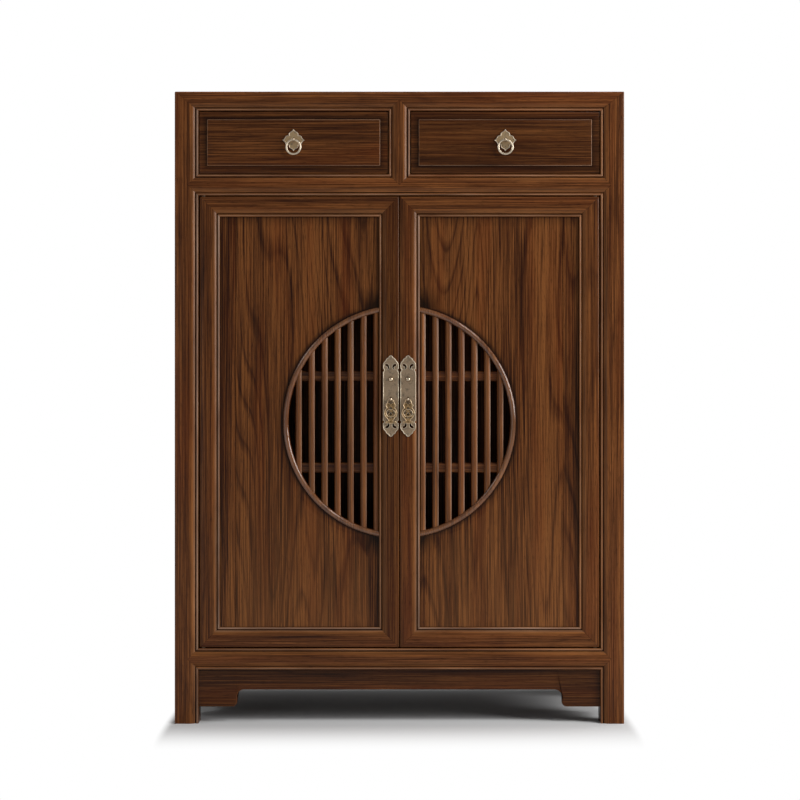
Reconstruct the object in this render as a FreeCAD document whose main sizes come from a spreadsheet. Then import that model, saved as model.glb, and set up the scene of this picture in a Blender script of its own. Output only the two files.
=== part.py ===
import FreeCAD, Part
import os
import re
import Sketcher

# East Asian accent cabinet: two drawers over two doors with a round lattice window.
# Millimetres. X runs to the right, Y to the back, Z up; the origin lies on the floor under the middle.

SIZES = {
    # whole cabinet
    "cabinet_width": 800,
    "cabinet_depth": 380,
    "cabinet_height": 1125,
    # frame members
    "post_size": 42,
    "top_rail_height": 34,
    "rail_height": 38,
    "muntin_width": 38,
    "drawer_opening_height": 113,
    "leg_height": 96,
    # moulding on the face of every frame member
    "bead_width": 4.5,
    "bead_rise": 2.2,
    "groove_width": 1.5,
    "groove_floor": 4.6,
    "shoulder_run": 9,
    "shoulder_drop": 3.2,
    "corner_round": 2.5,
    # pointed laps and tenons of the frame
    "lap_depth": 14,
    "tenon_setback": 16,
    "tenon_thickness": 12,
    "tenon_length": 12,
    "tenon_height": 18,
    # panels and boards held in the frame
    "panel_setback": 12,
    "panel_thickness": 9,
    "panel_tongue": 6,
    "top_panel_recess": 1,
    "top_panel_thickness": 14,
    "top_tongue_thickness": 7,
    "floor_board_drop": 10,
    "dust_board_drop": 20,
    "board_thickness": 12,
    "partition_thickness": 16,
    # shelves
    "shelf_thickness": 16,
    "shelf_gap": 1,
    "shelf_window_gap": 25,
    "cleat_width": 16,
    "cleat_height": 20,
    # aprons
    "apron_thickness": 15,
    "apron_setback": 9,
    "apron_height": 36.6,
    "bracket_height": 67,
    "bracket_width": 68,
    "bracket_round": 8,
    "bracket_cove": 13,
    # drawers
    "drawer_gap": 1.2,
    "drawer_setback": 3.5,
    "drawer_front_thickness": 18,
    "field_margin": 14,
    "field_rise": 2,
    "drawer_back_clearance": 12.5,
    "drawer_side_thickness": 11,
    "drawer_side_height": 92,
    "drawer_back_height": 80,
    "drawer_bottom_thickness": 6,
    "drawer_bottom_lift": 8,
    "drawer_housing": 5,
    "slide_gap": 0.3,
    "runner_width": 30,
    "runner_lip_height": 15,
    # doors
    "door_gap": 1.5,
    "hinge_gap": 2,
    "meeting_gap": 1,
    "door_setback": 3,
    "door_thickness": 22,
    "stile_width": 36,
    "door_edge_round": 3,
    "door_panel_setback": 6.5,
    "door_panel_thickness": 8,
    "pivot_inset": 6.5,
    "pin_radius": 2.5,
    "pin_in_door": 16,
    "pin_in_rail": 10,
    "bush_wall": 1.5,
    "bush_length": 12,
    "running_clearance": 0.05,
    # round window
    "moon_radius": 208,
    "moon_ring_width": 10,
    "moon_ring_front": 3,
    "moon_ring_round": 3.5,
    "moon_ring_back": 18,
    "bar_width": 11.2,
    "bar_pitch": 23.15,
    "bar_tuck": 1.1,
    "bar_front": 6,
    "bar_round": 3,
    "bar_back": 14,
    "crossbar_offset": 82,
    "crossbar_height": 18,
    "crossbar_back": 20,
    # catches
    "catch_length": 40,
    "catch_depth": 14,
    "catch_height": 12,
    "catch_offset": 10,
    "catch_air": 0.3,
    "strike_length": 34,
    "strike_thickness": 1.2,
    # ring pulls
    "pull_raise": 4,
    "petal_reach": 19.8,
    "petal_notch": 8.2,
    "petal_cheek_half": 8.4,
    "petal_cheek_reach": 11.5,
    "petal_hip_half": 5,
    "petal_hip_reach": 15,
    "petal_waist_half": 2.2,
    "petal_waist_reach": 16.8,
    "pull_plate_thickness": 1.5,
    "ring_radius": 12.6,
    "ring_wire_radius": 1.8,
    "pull_stand": 5,
    "pull_eye_radius": 4,
    "pull_eye_hole": 2.25,
    "pull_eye_length": 4,
    "pull_ball_radius": 2.8,
    "pull_ball_lead": 4.5,
    "pull_shank_radius": 2,
    "nut_radius": 5.5,
    "nut_thickness": 4,
    "shank_end": 2,
    # door plates
    "plate_width": 28,
    "plate_height": 145,
    "plate_thickness": 1.8,
    "plate_offset": 15.4,
    "plate_raise": 46,
    "plate_lip_bend_half": 2.9,
    "plate_lip_bend_below": 1.4,
    "plate_lip_half": 4.2,
    "plate_lip_below": 4,
    "plate_lobe_bend_half": 7.6,
    "plate_lobe_bend_below": 5.8,
    "plate_lobe_half": 9.2,
    "plate_lobe_below": 9.2,
    "plate_bend_half": 12.6,
    "plate_bend_below": 12.8,
    "plate_side_below": 17.5,
    "plate_notch_below": 26.5,
    "plate_notch_half": 2.5,
    "plate_notch_depth": 2.2,
    "comma_top": 15.2,
    "comma_bottom": 25.8,
    "comma_spread": 7.4,
    "comma_waist": 2.6,
    "comma_inner_waist": 5.9,
    "comma_thickness": 3.9,
    "comma_tail": 1,
    "comma_head_out": 2.6,
    "comma_head_drop": 1.4,
    "knob_above": 29.7,
    "knob_radius": 4.8,
    "knob_neck_radius": 2.6,
    "knob_reach": 11.2,
    "nail_radius": 1.4,
    "nail_inset": 6,
    "nail_head": 0.8,
    "shank_depth": 12,
    # drop pulls
    "drop_below": 5.7,
    "drop_stand": 4.4,
    "drop_thickness": 2.2,
    "drop_loop_radius": 4.8,
    "drop_loop_width": 2.8,
    "drop_eye_radius": 4.2,
    "drop_eye_hole": 2.4,
    "drop_eye_length": 3,
    "drop_ball_radius": 3,
    "drop_shank_radius": 1.5,
    "drop_shoulder_half": 9.5,
    "drop_shoulder_below": 10.9,
    "drop_waist_half": 7.6,
    "drop_waist_below": 15.3,
    "drop_belly_half": 11.9,
    "drop_belly_below": 24.7,
    "drop_hip_below": 33.6,
    "drop_neck_half": 4,
    "drop_neck_below": 38.1,
    "drop_foot_bend_half": 9.5,
    "drop_foot_bend_below": 39.9,
    "drop_foot_half": 10.6,
    "drop_foot_below": 43,
    "drop_hem_half": 5.3,
    "drop_hem_below": 42.8,
    "drop_length": 44.3,
    "slit_half_height": 3.7,
    "slit_near": 4,
    "slit_far": 4.8,
    "slit_near_belly": 5.5,
    "slit_far_belly": 7.4,
    "drop_hole_radius": 1.3,
    "drop_hole_pitch": 8.3,
}

BAR_COUNT = 7

# Places worked out from the sizes, each spelled once.
PLACES = {
    "half_width": "cabinet_width / 2",
    "front": "(knob_reach - cabinet_depth) / 2",
    "back": "front + cabinet_depth",
    "mid_depth": "knob_reach / 2",
    "inner_half": "half_width - post_size",
    "behind_posts": "front + post_size",
    "before_rear": "back - post_size",
    "inner_half_depth": "cabinet_depth / 2 - post_size",
    "edge_width": "bead_width + groove_width",
    "bead_crest": "groove_floor - bead_rise",
    "shoulder_radius": "(shoulder_run ^ 2 + shoulder_drop ^ 2) / (2 * shoulder_drop)",
    "shoulder_mid": "shoulder_radius - sqrt(shoulder_radius ^ 2 - shoulder_run ^ 2 / 4)",
    "top_rail_low": "cabinet_height - top_rail_height",
    "middle_high": "top_rail_low - drawer_opening_height",
    "middle_low": "middle_high - rail_height",
    "bottom_high": "leg_height + rail_height",
    "floor_top": "bottom_high - floor_board_drop",
    "dust_top": "middle_high - dust_board_drop",
    "top_panel_high": "cabinet_height - top_panel_recess",
    "top_panel_low": "top_panel_high - top_panel_thickness",
    "panel_inner": "panel_setback + panel_thickness",
    "muntin_half": "muntin_width / 2",
    # drawers
    "drawer_inner": "muntin_half + drawer_gap",
    "drawer_outer": "inner_half - drawer_gap",
    "drawer_low": "middle_high + drawer_gap",
    "drawer_high": "top_rail_low - drawer_gap",
    "drawer_face": "front + drawer_setback + field_rise",
    "drawer_field": "front + drawer_setback",
    "drawer_front_back": "drawer_face + drawer_front_thickness",
    "drawer_end": "before_rear - drawer_back_clearance",
    "drawer_side_low": "middle_high + slide_gap",
    "drawer_bottom_low": "drawer_side_low + drawer_bottom_lift",
    "drawer_bottom_high": "drawer_bottom_low + drawer_bottom_thickness",
    "drawer_centre": "(drawer_inner + drawer_outer) / 2",
    "pull_height": "(middle_high + top_rail_low) / 2 + pull_raise",
    "pull_plate_face": "drawer_field - pull_plate_thickness",
    "pull_axis": "pull_plate_face - pull_stand",
    # doors
    "door_low": "bottom_high + door_gap",
    "door_high": "middle_low - door_gap",
    "door_height": "door_high - door_low",
    "door_middle": "(bottom_high + middle_low) / 2",
    "door_inner": "meeting_gap / 2",
    "door_outer": "inner_half - hinge_gap",
    "door_width": "door_outer - door_inner",
    "door_face": "front + door_setback",
    "door_back": "door_face + door_thickness",
    "pivot_offset": "door_outer - pivot_inset",
    "pivot_depth": "door_face + pivot_inset",
    "bush_bore": "pin_radius + running_clearance",
    "bush_radius": "bush_bore + bush_wall",
    "stile_edge": "door_inner + stile_width",
    "hinge_stile_edge": "door_outer - stile_width",
    "door_panel_front": "door_face + door_panel_setback",
    "door_panel_back": "door_panel_front + door_panel_thickness",
    "moon_inner": "moon_radius - moon_ring_width",
    "bar_row": f"{BAR_COUNT - 1} * bar_pitch",
    "lower_shelf_top": "door_middle - moon_radius - shelf_window_gap",
    "upper_shelf_top": "door_middle + moon_radius + shelf_window_gap + shelf_thickness",
    "plate_centre": "door_middle + plate_raise",
    "plate_face": "door_face - plate_thickness",
    "knob_height": "plate_centre + knob_above",
    "drop_height": "plate_centre - drop_below",
    "drop_axis": "plate_face - drop_stand",
    "plate_half": "plate_width / 2",
    "plate_tip": "plate_height / 2",
}

SIDES = {"left": -1, "right": 1}

doc = FreeCAD.newDocument("AccentCabinet")
sheet = doc.addObject("Spreadsheet::Sheet", "Sizes")
for row, (alias, number) in enumerate(SIZES.items(), start=1):
    sheet.set(f"A{row}", alias)
    sheet.set(f"B{row}", str(number))
    sheet.setAlias(f"B{row}", alias)
doc.recompute()

X_AXIS = FreeCAD.Vector(1, 0, 0)
Y_AXIS = FreeCAD.Vector(0, 1, 0)
Z_AXIS = FreeCAD.Vector(0, 0, 1)
NO_TURN = FreeCAD.Rotation()
# a turned cylinder runs along this axis
ALONG_X = FreeCAD.Rotation(Y_AXIS, 90)
ALONG_Y = FreeCAD.Rotation(X_AXIS, -90)

nodes = {}


# Size texts

def full(text):
    """Spell a size text out with the sheet's own names."""
    def swap(match):
        word = match.group(0)
        if word in PLACES:
            return "(" + full(PLACES[word]) + ")"
        if word in SIZES:
            return "Sizes." + word
        return word
    return re.sub(r"[a-z][a-z_]*", swap, str(text))


def number_of(text):
    """The number a size text stands for now."""
    return float(sheet.evalExpression(full(text)))


def mirrored(span, side):
    """A span measured from the centre line, on the left or the right side."""
    near, far = span
    if side > 0:
        return near, far
    return f"-({far})", f"-({near})"


# Plain solids

def put(item, x, y, z, turn=NO_TURN):
    """Place an object at sizes read from the sheet."""
    item.Placement = FreeCAD.Placement(FreeCAD.Vector(), turn)
    for axis, text in zip("xyz", (x, y, z)):
        item.setExpression(f"Placement.Base.{axis}", full(text))
    return item


def bind(item, **texts):
    for name, text in texts.items():
        item.setExpression(name, full(text))
    return item


def block(name, across, depth, height):
    """Box given by its spans along X, Y and Z."""
    item = doc.addObject("Part::Box", name)
    bind(item,
         Length=f"({across[1]}) - ({across[0]})",
         Width=f"({depth[1]}) - ({depth[0]})",
         Height=f"({height[1]}) - ({height[0]})")
    return put(item, across[0], depth[0], height[0])


def rod(name, place, radius, length, turn=NO_TURN):
    item = doc.addObject("Part::Cylinder", name)
    bind(item, Radius=radius, Height=length)
    return put(item, *place, turn)


def ball(name, place, radius):
    item = doc.addObject("Part::Sphere", name)
    bind(item, Radius=radius)
    return put(item, *place)


def fuse(name, pieces):
    if len(pieces) == 1:
        return pieces[0]
    item = doc.addObject("Part::MultiFuse", name)
    item.Shapes = pieces
    return item


def cut(name, base, tools):
    item = doc.addObject("Part::Cut", name)
    item.Base = base
    item.Tool = fuse(name + "_tools", tools)
    return item


def common(name, base, tool):
    item = doc.addObject("Part::Common", name)
    item.Base = base
    item.Tool = tool
    return item


def group(name, pieces):
    item = doc.addObject("Part::Compound", name)
    item.Links = pieces
    return item


def keep(label, item):
    """Name a finished sub-part."""
    item.Label = label
    nodes[label] = item
    return item


# Sketched bodies

def pin_point(sketch, constraints, texts, geometry, end, point):
    """Tie a sketch point to two sizes measured from the sketch origin."""
    for kind, text in zip(("DistanceX", "DistanceY"), point):
        texts.append((len(constraints), text))
        constraints.append(Sketcher.Constraint(kind, -1, 1, geometry, end, number_of(text)))


def draw(sketch, path):
    """Draw a closed outline; a step is (x, y) for a line or (via_x, via_y, x, y) for an arc."""
    constraints = []
    texts = []
    ends = []
    here = path[-1][-2:]
    for step in path:
        there = step[-2:]
        start = FreeCAD.Vector(number_of(here[0]), number_of(here[1]), 0)
        stop = FreeCAD.Vector(number_of(there[0]), number_of(there[1]), 0)
        if len(step) == 2:
            index = sketch.addGeometry(Part.LineSegment(start, stop))
            ends.append((index, 1, 2))
        else:
            via = FreeCAD.Vector(number_of(step[0]), number_of(step[1]), 0)
            # a sketch arc always runs counterclockwise
            forward = (via - start).cross(stop - via).z > 0
            index = sketch.addGeometry(Part.Arc(start, via, stop) if forward else Part.Arc(stop, via, start))
            ends.append((index, 1, 2) if forward else (index, 2, 1))
            mark = sketch.addGeometry(Part.Point(via), True)
            constraints.append(Sketcher.Constraint("PointOnObject", mark, 1, index))
            pin_point(sketch, constraints, texts, mark, 1, step[:2])
        pin_point(sketch, constraints, texts, index, ends[-1][2], there)
        here = there
    for before, after in zip([ends[-1]] + ends[:-1], ends):
        constraints.append(Sketcher.Constraint("Coincident", before[0], before[2], after[0], after[1]))
    offset = sketch.ConstraintCount
    sketch.addConstraint(constraints)
    for index, text in texts:
        sketch.setExpression(f"Constraints[{offset + index}]", full(text))


def draw_circle(sketch, centre, radius):
    middle = FreeCAD.Vector(number_of(centre[0]), number_of(centre[1]), 0)
    index = sketch.addGeometry(Part.Circle(middle, Z_AXIS, number_of(radius)))
    constraints = []
    texts = []
    pin_point(sketch, constraints, texts, index, 3, centre)
    texts.append((len(constraints), radius))
    constraints.append(Sketcher.Constraint("Radius", index, number_of(radius)))
    offset = sketch.ConstraintCount
    sketch.addConstraint(constraints)
    for place, text in texts:
        sketch.setExpression(f"Constraints[{offset + place}]", full(text))


def new_body(name, outlines, circles=()):
    """Body with one sketch on its XY plane."""
    body = doc.addObject("PartDesign::Body", name)
    sketch = body.newObject("Sketcher::SketchObject", name + "_sketch")
    plane = [item for item in body.Origin.OriginFeatures if item.Role == "XY_Plane"][0]
    sketch.AttachmentSupport = [(plane, "")]
    sketch.MapMode = "FlatFace"
    for outline in outlines:
        draw(sketch, outline)
    for centre, radius in circles:
        draw_circle(sketch, centre, radius)
    return body, sketch


def padded(name, outlines, length, circles=()):
    body, sketch = new_body(name, outlines, circles)
    pad = body.newObject("PartDesign::Pad", name + "_pad")
    pad.Profile = sketch
    bind(pad, Length=length)
    return body


def turned(name, outline):
    """Body of revolution about its own Y axis."""
    body, sketch = new_body(name, [outline])
    spin = body.newObject("PartDesign::Revolution", name + "_spin")
    spin.Profile = sketch
    spin.ReferenceAxis = (sketch, ["V_Axis"])
    spin.Angle = 360
    return body


# Moulded members: X across the face, Y from the face to the back, Z along the member

def bead_edge():
    """Edge with bead, groove and rounded shoulder, from the side to the flat face."""
    return [
        ("0", "groove_floor"),
        ("bead_width / 2", "bead_crest", "bead_width", "groove_floor"),
        ("edge_width", "groove_floor"),
        ("edge_width", "shoulder_drop"),
        ("edge_width + shoulder_run / 2", "shoulder_mid", "edge_width + shoulder_run", "0"),
    ]


def round_edge(radius):
    """Plain edge rounded over."""
    return [
        ("0", radius),
        (f"({radius}) * (1 - sqrt(0.5))", f"({radius}) * (1 - sqrt(0.5))", radius, "0"),
    ]


def far_edge(edge, width):
    """The same edge seen from the other side of the member, from the flat face to the side."""
    steps = []
    for before, step in zip(edge[:-1][::-1], edge[1:][::-1]):
        via = [f"({width}) - ({step[0]})", step[1]] if len(step) == 4 else []
        steps.append((*via, f"({width}) - ({before[-2]})", before[-1]))
    start = edge[-1]
    return [(f"({width}) - ({start[-2]})", start[-1])] + steps


def moulded_path(width, depth, low, high):
    return [*low, *far_edge(high, width), (width, depth), ("0", depth)]


def post_path():
    """Square post with the moulding on its two outer faces."""
    edge = far_edge(bead_edge(), "post_size")
    points = [step[-2:] for step in edge]
    corner = "corner_round * (1 - sqrt(0.5))"
    second_face = [(points[-1][1], points[-1][0])]
    for step, before in zip(edge[:0:-1], points[-2::-1]):
        via = (step[1], step[0]) if len(step) == 4 else ()
        second_face.append((*via, before[1], before[0]))
    return [
        *edge,
        ("post_size", "post_size"),
        *second_face,
        ("0", "corner_round"),
        (corner, corner, "corner_round", "0"),
    ]


# How a rail lies on each side of the cabinet: its width stands up, its depth points inward.
RAIL_TURNS = {
    "front": FreeCAD.Rotation(Z_AXIS, Y_AXIS, -X_AXIS, "XYZ"),
    "rear": FreeCAD.Rotation(Z_AXIS, -Y_AXIS, X_AXIS, "XYZ"),
    "left": FreeCAD.Rotation(Z_AXIS, X_AXIS, Y_AXIS, "XYZ"),
    "right": FreeCAD.Rotation(Z_AXIS, -X_AXIS, -Y_AXIS, "XYZ"),
}
# Which way a point leans on each side, in degrees about the axis that looks at that side.
POINT_TURNS = {
    "start": {"x": 45, "y": -45},
    "end": {"x": 225, "y": 135},
}


def rail_start(side, half_length):
    """X and Y at which a rail of this side begins."""
    return {
        "front": (half_length, "front"),
        "rear": (f"-({half_length})", "back"),
        "left": ("-half_width", f"mid_depth - ({half_length})"),
        "right": ("half_width", f"mid_depth + ({half_length})"),
    }[side]


def side_block(name, side, along, depth, height):
    """Box on one side of the cabinet: along the side, in from its face, and up."""
    near, far = depth
    inward = {
        "front": (f"front + ({near})", f"front + ({far})"),
        "rear": (f"back - ({far})", f"back - ({near})"),
        "left": (f"({near}) - half_width", f"({far}) - half_width"),
        "right": (f"half_width - ({far})", f"half_width - ({near})"),
    }[side]
    if side in ("front", "rear"):
        return block(name, along, inward, height)
    span = (f"mid_depth + ({along[0]})", f"mid_depth + ({along[1]})")
    return block(name, inward, span, height)


def point_block(name, side, end, reach, height):
    """Square block stood on its edge: its 90 degree point is the lap at one end of a rail."""
    item = doc.addObject("Part::Box", name)
    flank = "rail_height * sqrt(0.5)"
    sign = "-" if end == "start" else ""
    if side in ("front", "rear"):
        bind(item, Length=flank, Width="lap_depth", Height=flank)
        depth = "front" if side == "front" else "back - lap_depth"
        turn = FreeCAD.Rotation(Y_AXIS, POINT_TURNS[end]["x"])
        return put(item, f"{sign}({reach})", depth, height, turn)
    bind(item, Length="lap_depth", Width=flank, Height=flank)
    depth = "-half_width" if side == "left" else "half_width - lap_depth"
    turn = FreeCAD.Rotation(X_AXIS, POINT_TURNS[end]["y"])
    return put(item, depth, f"mid_depth + {sign}({reach})", height, turn)


def clear_half(side):
    """Half the clear length between the posts of a side."""
    return "inner_half" if side in ("front", "rear") else "inner_half_depth"


def rail_joints(name, side, low):
    """Pointed laps and tenons at both ends of a rail; they are taken out of the posts too."""
    half = clear_half(side)
    middle = f"({low}) + rail_height / 2"
    height = (f"({middle}) - tenon_height / 2", f"({middle}) + tenon_height / 2")
    depth = ("tenon_setback", "tenon_setback + tenon_thickness")
    spans = {
        "start": (f"-({half}) - tenon_length", f"-({half})"),
        "end": (half, f"({half}) + tenon_length"),
    }
    joints = []
    for end, span in spans.items():
        joints.append(point_block(f"{name}_{end}_point", side, end, f"({half}) + rail_height / 2", middle))
        joints.append(side_block(f"{name}_{end}_tenon", side, span, depth, height))
    return joints


def framed_rail(name, side, low, joints):
    """Rail with a bead on both edges, pointed laps and tenons."""
    half = clear_half(side)
    reach = f"({half}) + rail_height / 2"
    path = moulded_path("rail_height", "post_size", bead_edge(), bead_edge())
    bar = padded(name + "_bar", [path], f"2 * ({reach})")
    put(bar, *rail_start(side, reach), low, RAIL_TURNS[side])
    core = side_block(name + "_core", side, (f"-({half})", half), ("0", "post_size"),
                      (low, f"({low}) + rail_height"))
    return common(name + "_shaped", bar, fuse(name + "_envelope", [core, *joints]))


def mitre_block(name, length, width, depth, low_cut, high_cut):
    """Prism whose ends are cut back by one amount at its low edge and by another at its high edge."""
    item = doc.addObject("Part::Wedge", name)
    return bind(item,
                Xmin=low_cut, Xmax=f"({length}) - ({low_cut})",
                X2min=high_cut, X2max=f"({length}) - ({high_cut})",
                Ymin="0", Ymax=width, Zmin="0", Zmax=depth, Z2min="0", Z2max=depth)


# A mitre block laid along a member: over its face, or over its upper side.
FACE_MITRE = FreeCAD.Rotation(Z_AXIS, X_AXIS, Y_AXIS, "XYZ")
PLAN_MITRE = FreeCAD.Rotation(Z_AXIS, Y_AXIS, -X_AXIS, "XYZ")


def top_rail(side):
    """Rail of the top frame, mitred to its posts on the face and to its neighbours on top."""
    name = f"top_{side}"
    length = "cabinet_width" if side in ("front", "rear") else "cabinet_depth"
    start = rail_start(side, f"({length}) / 2")
    turn = RAIL_TURNS[side]
    path = moulded_path("top_rail_height", "post_size", bead_edge(), round_edge("corner_round"))
    bar = padded(name + "_bar", [path], length)
    put(bar, *start, "top_rail_low", turn)
    face = mitre_block(name + "_face", length, "top_rail_height", "post_size", "post_size", "0")
    put(face, *start, "top_rail_low", turn * FACE_MITRE)
    plan = mitre_block(name + "_plan", length, "post_size", "top_rail_height", "0", "post_size")
    put(plan, *start, "cabinet_height", turn * PLAN_MITRE)
    return common(name + "_shaped", common(name + "_elevation", bar, face), plan), face


def mitred_bar(name, path, length, depth, place, turn, low_cut, high_cut):
    """Moulded bar of a door frame with 45 degree ends."""
    bar = put(padded(name + "_bar", [path], length), *place, turn)
    prism = mitre_block(name + "_mitre", length, "stile_width", depth, low_cut, high_cut)
    put(prism, *place, turn * FACE_MITRE)
    return common(name + "_shaped", bar, prism)


# Carcass

def make_panels():
    """Boards that sit in the grooves of the frame."""
    panels = {}
    bays = {
        "upper": ("middle_high - panel_tongue", "top_rail_low + panel_tongue"),
        "lower": ("bottom_high - panel_tongue", "middle_low + panel_tongue"),
    }
    for side in ("left", "right", "rear"):
        reach = f"{clear_half(side)} + panel_tongue"
        for bay, height in bays.items():
            panels[f"{side}_{bay}"] = side_block(
                f"{side}_{bay}_panel", side, (f"-({reach})", reach), ("panel_setback", "panel_inner"), height)
    across = ("-(inner_half + panel_tongue)", "inner_half + panel_tongue")
    depth = ("behind_posts - panel_tongue", "before_rear + panel_tongue")
    panels["floor"] = block("floor_plank", across, depth, ("floor_top - board_thickness", "floor_top"))
    panels["dust"] = block("dust_plank", across, depth, ("dust_top - board_thickness", "dust_top"))
    tongue = block("top_tongue", across, depth, ("top_panel_low", "top_panel_low + top_tongue_thickness"))
    field = block("top_field", ("-inner_half", "inner_half"), ("behind_posts", "before_rear"),
                  ("top_panel_low", "top_panel_high"))
    panels["top"] = fuse("top_board", [tongue, field])
    return panels


def make_muntin():
    """Upright between the drawers, pointed into the rails above and below."""
    points = []
    ends = {
        "low": ("middle_high - muntin_half", 315),
        "high": ("top_rail_low + muntin_half", 135),
    }
    for end, (apex, angle) in ends.items():
        point = doc.addObject("Part::Box", f"muntin_{end}_point")
        flank = "muntin_width * sqrt(0.5)"
        bind(point, Length=flank, Width="lap_depth", Height=flank)
        points.append(put(point, "0", "front", apex, FreeCAD.Rotation(Y_AXIS, angle)))
    path = moulded_path("muntin_width", "post_size", bead_edge(), bead_edge())
    bar = padded("muntin_bar", [path], "drawer_opening_height + muntin_width")
    put(bar, "-muntin_half", "front", "middle_high - muntin_half")
    core = block("muntin_core", ("-muntin_half", "muntin_half"), ("front", "behind_posts"),
                 ("middle_high", "top_rail_low"))
    shaped = common("muntin_shaped", bar, fuse("muntin_envelope", [core, *points]))
    return shaped, points


def make_bushes():
    """Bushes in the middle and bottom rails that the door pins turn in, with the holes they sit in."""
    bushes = {"middle": [], "bottom": []}
    for side, sign in SIDES.items():
        x = f"{sign} * (pivot_offset)"
        for rail, low in (("middle", "middle_low"), ("bottom", "bottom_high - bush_length")):
            name = f"{side}_{rail}_bush"
            outer = rod(name + "_outer", (x, "pivot_depth", low), "bush_radius", "bush_length")
            bore = rod(name + "_bore", (x, "pivot_depth", low), "bush_bore", "bush_length")
            bushes[rail].append((outer, cut(name, outer, [bore])))
    return bushes


def make_frame():
    """Posts and rails with everything that is let into them."""
    panels = make_panels()
    muntin, muntin_points = make_muntin()
    bushes = make_bushes()
    levels = {"middle": "middle_low", "bottom": "leg_height"}
    joints = {}
    rails = {}
    top_rails = {}
    top_faces = {}
    for side in RAIL_TURNS:
        top_rails[side], top_faces[side] = top_rail(side)
        for level, low in levels.items():
            name = f"{side}_{level}"
            joints[side, level] = rail_joints(name, side, low)
            rails[side, level] = framed_rail(name, side, low, joints[side, level])

    boards = {"middle": "dust", "bottom": "floor"}

    def finished_rail(side, level):
        tools = [panels[boards[level]]]
        if side != "front":
            tools.append(panels[f"{side}_lower"])
            if level == "middle":
                tools.append(panels[f"{side}_upper"])
        else:
            tools += [outer for outer, bush in bushes[level]]
            if level == "middle":
                tools.append(muntin_points[0])
        return cut(f"{side}_{level}_rail_cut", rails[side, level], tools)

    def finished_top(side):
        tools = [panels["top"]]
        tools.append(muntin_points[1] if side == "front" else panels[f"{side}_upper"])
        return cut(f"top_{side}_cut", top_rails[side], tools)

    keep("top_front_rail", finished_top("front"))
    keep("top_side_rails", group("top_sides", [finished_top("left"), finished_top("right")]))
    keep("middle_front_rail", finished_rail("front", "middle"))
    keep("bottom_front_rail", finished_rail("front", "bottom"))
    keep("side_rails", group("side_rail_group", [
        finished_rail(side, level) for side in SIDES for level in levels]))
    keep("rear_rails", group("rear_rail_group", [
        finished_top("rear"), finished_rail("rear", "middle"), finished_rail("rear", "bottom")]))
    keep("drawer_muntin", muntin)

    turns = {
        ("front", "left"): (0, "-half_width", "front"),
        ("front", "right"): (90, "half_width", "front"),
        ("rear", "right"): (180, "half_width", "back"),
        ("rear", "left"): (270, "-half_width", "back"),
    }
    for (face, side), (angle, x, y) in turns.items():
        name = f"{side}_{face}_post"
        bar = padded(name + "_bar", [post_path()], "cabinet_height")
        put(bar, x, y, "0", FreeCAD.Rotation(Z_AXIS, angle))
        tools = [top_faces[face], top_faces[side]]
        tools += [panels["floor"], panels["dust"], panels["top"]]
        tools += [panels[f"{side}_upper"], panels[f"{side}_lower"]]
        if face == "rear":
            tools += [panels["rear_upper"], panels["rear_lower"]]
        for level in levels:
            tools += joints[face, level] + joints[side, level]
        keep(name, cut(name + "_cut", bar, tools))

    keep("side_panels", group("side_panel_group", [
        panels[f"{side}_{bay}"] for side in SIDES for bay in ("upper", "lower")]))
    keep("back_panels", group("back_panel_group", [panels["rear_upper"], panels["rear_lower"]]))
    keep("top_panel", panels["top"])
    keep("floor_board", panels["floor"])
    keep("dust_board", panels["dust"])
    keep("pivot_bushes", group("bush_group", [bush for pairs in bushes.values() for outer, bush in pairs]))


def make_interior():
    """Shelves, cleats, drawer partition, runners and catches."""
    wall = "half_width - panel_inner"
    depth = ("behind_posts + shelf_gap", "before_rear - shelf_gap")
    shelves = []
    cleats = []
    for name, top in (("lower", "lower_shelf_top"), ("upper", "upper_shelf_top")):
        shelves.append(block(f"{name}_shelf", (f"shelf_gap - ({wall})", f"({wall}) - shelf_gap"), depth,
                             (f"{top} - shelf_thickness", top)))
        for side, sign in SIDES.items():
            across = mirrored((f"({wall}) - cleat_width", wall), sign)
            low = f"{top} - shelf_thickness - cleat_height"
            cleats.append(block(f"{side}_{name}_cleat", across, depth, (low, f"{top} - shelf_thickness")))
    keep("shelves", group("shelf_group", shelves))
    keep("shelf_cleats", group("cleat_group", cleats))

    between = ("behind_posts", "before_rear")
    half = "partition_thickness / 2"
    keep("drawer_partition", block("partition", (f"-{half}", half), between, ("dust_top", "top_panel_low")))
    runners = []
    lip_top = "middle_high + runner_lip_height"
    lip_width = f"(muntin_half - {half})"
    for side, sign in SIDES.items():
        bed = block(f"{side}_inner_bed", mirrored((half, f"{half} + runner_width"), sign), between,
                    ("dust_top", "middle_high"))
        lip = block(f"{side}_inner_lip", mirrored((half, "muntin_half"), sign), between,
                    ("dust_top", lip_top))
        runners.append(fuse(f"{side}_inner_runner", [bed, lip]))
        bed_span = mirrored(("inner_half - runner_width", "inner_half"), sign)
        guide_span = mirrored(("inner_half", f"inner_half + {lip_width}"), sign)
        runners.append(block(f"{side}_outer_runner", bed_span, between, ("dust_top", "middle_high")))
        runners.append(block(f"{side}_outer_guide", guide_span, between, ("middle_high", lip_top)))
    keep("drawer_runners", group("runner_group", runners))

    catch_face = "door_back + strike_thickness + catch_air"
    catches = []
    for side, sign in SIDES.items():
        across = mirrored(("catch_offset", "catch_offset + catch_length"), sign)
        catches.append(block(f"{side}_catch", across, (catch_face, f"{catch_face} + catch_depth"),
                             ("middle_low - catch_height", "middle_low")))
    keep("magnet_catches", group("catch_group", catches))


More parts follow.
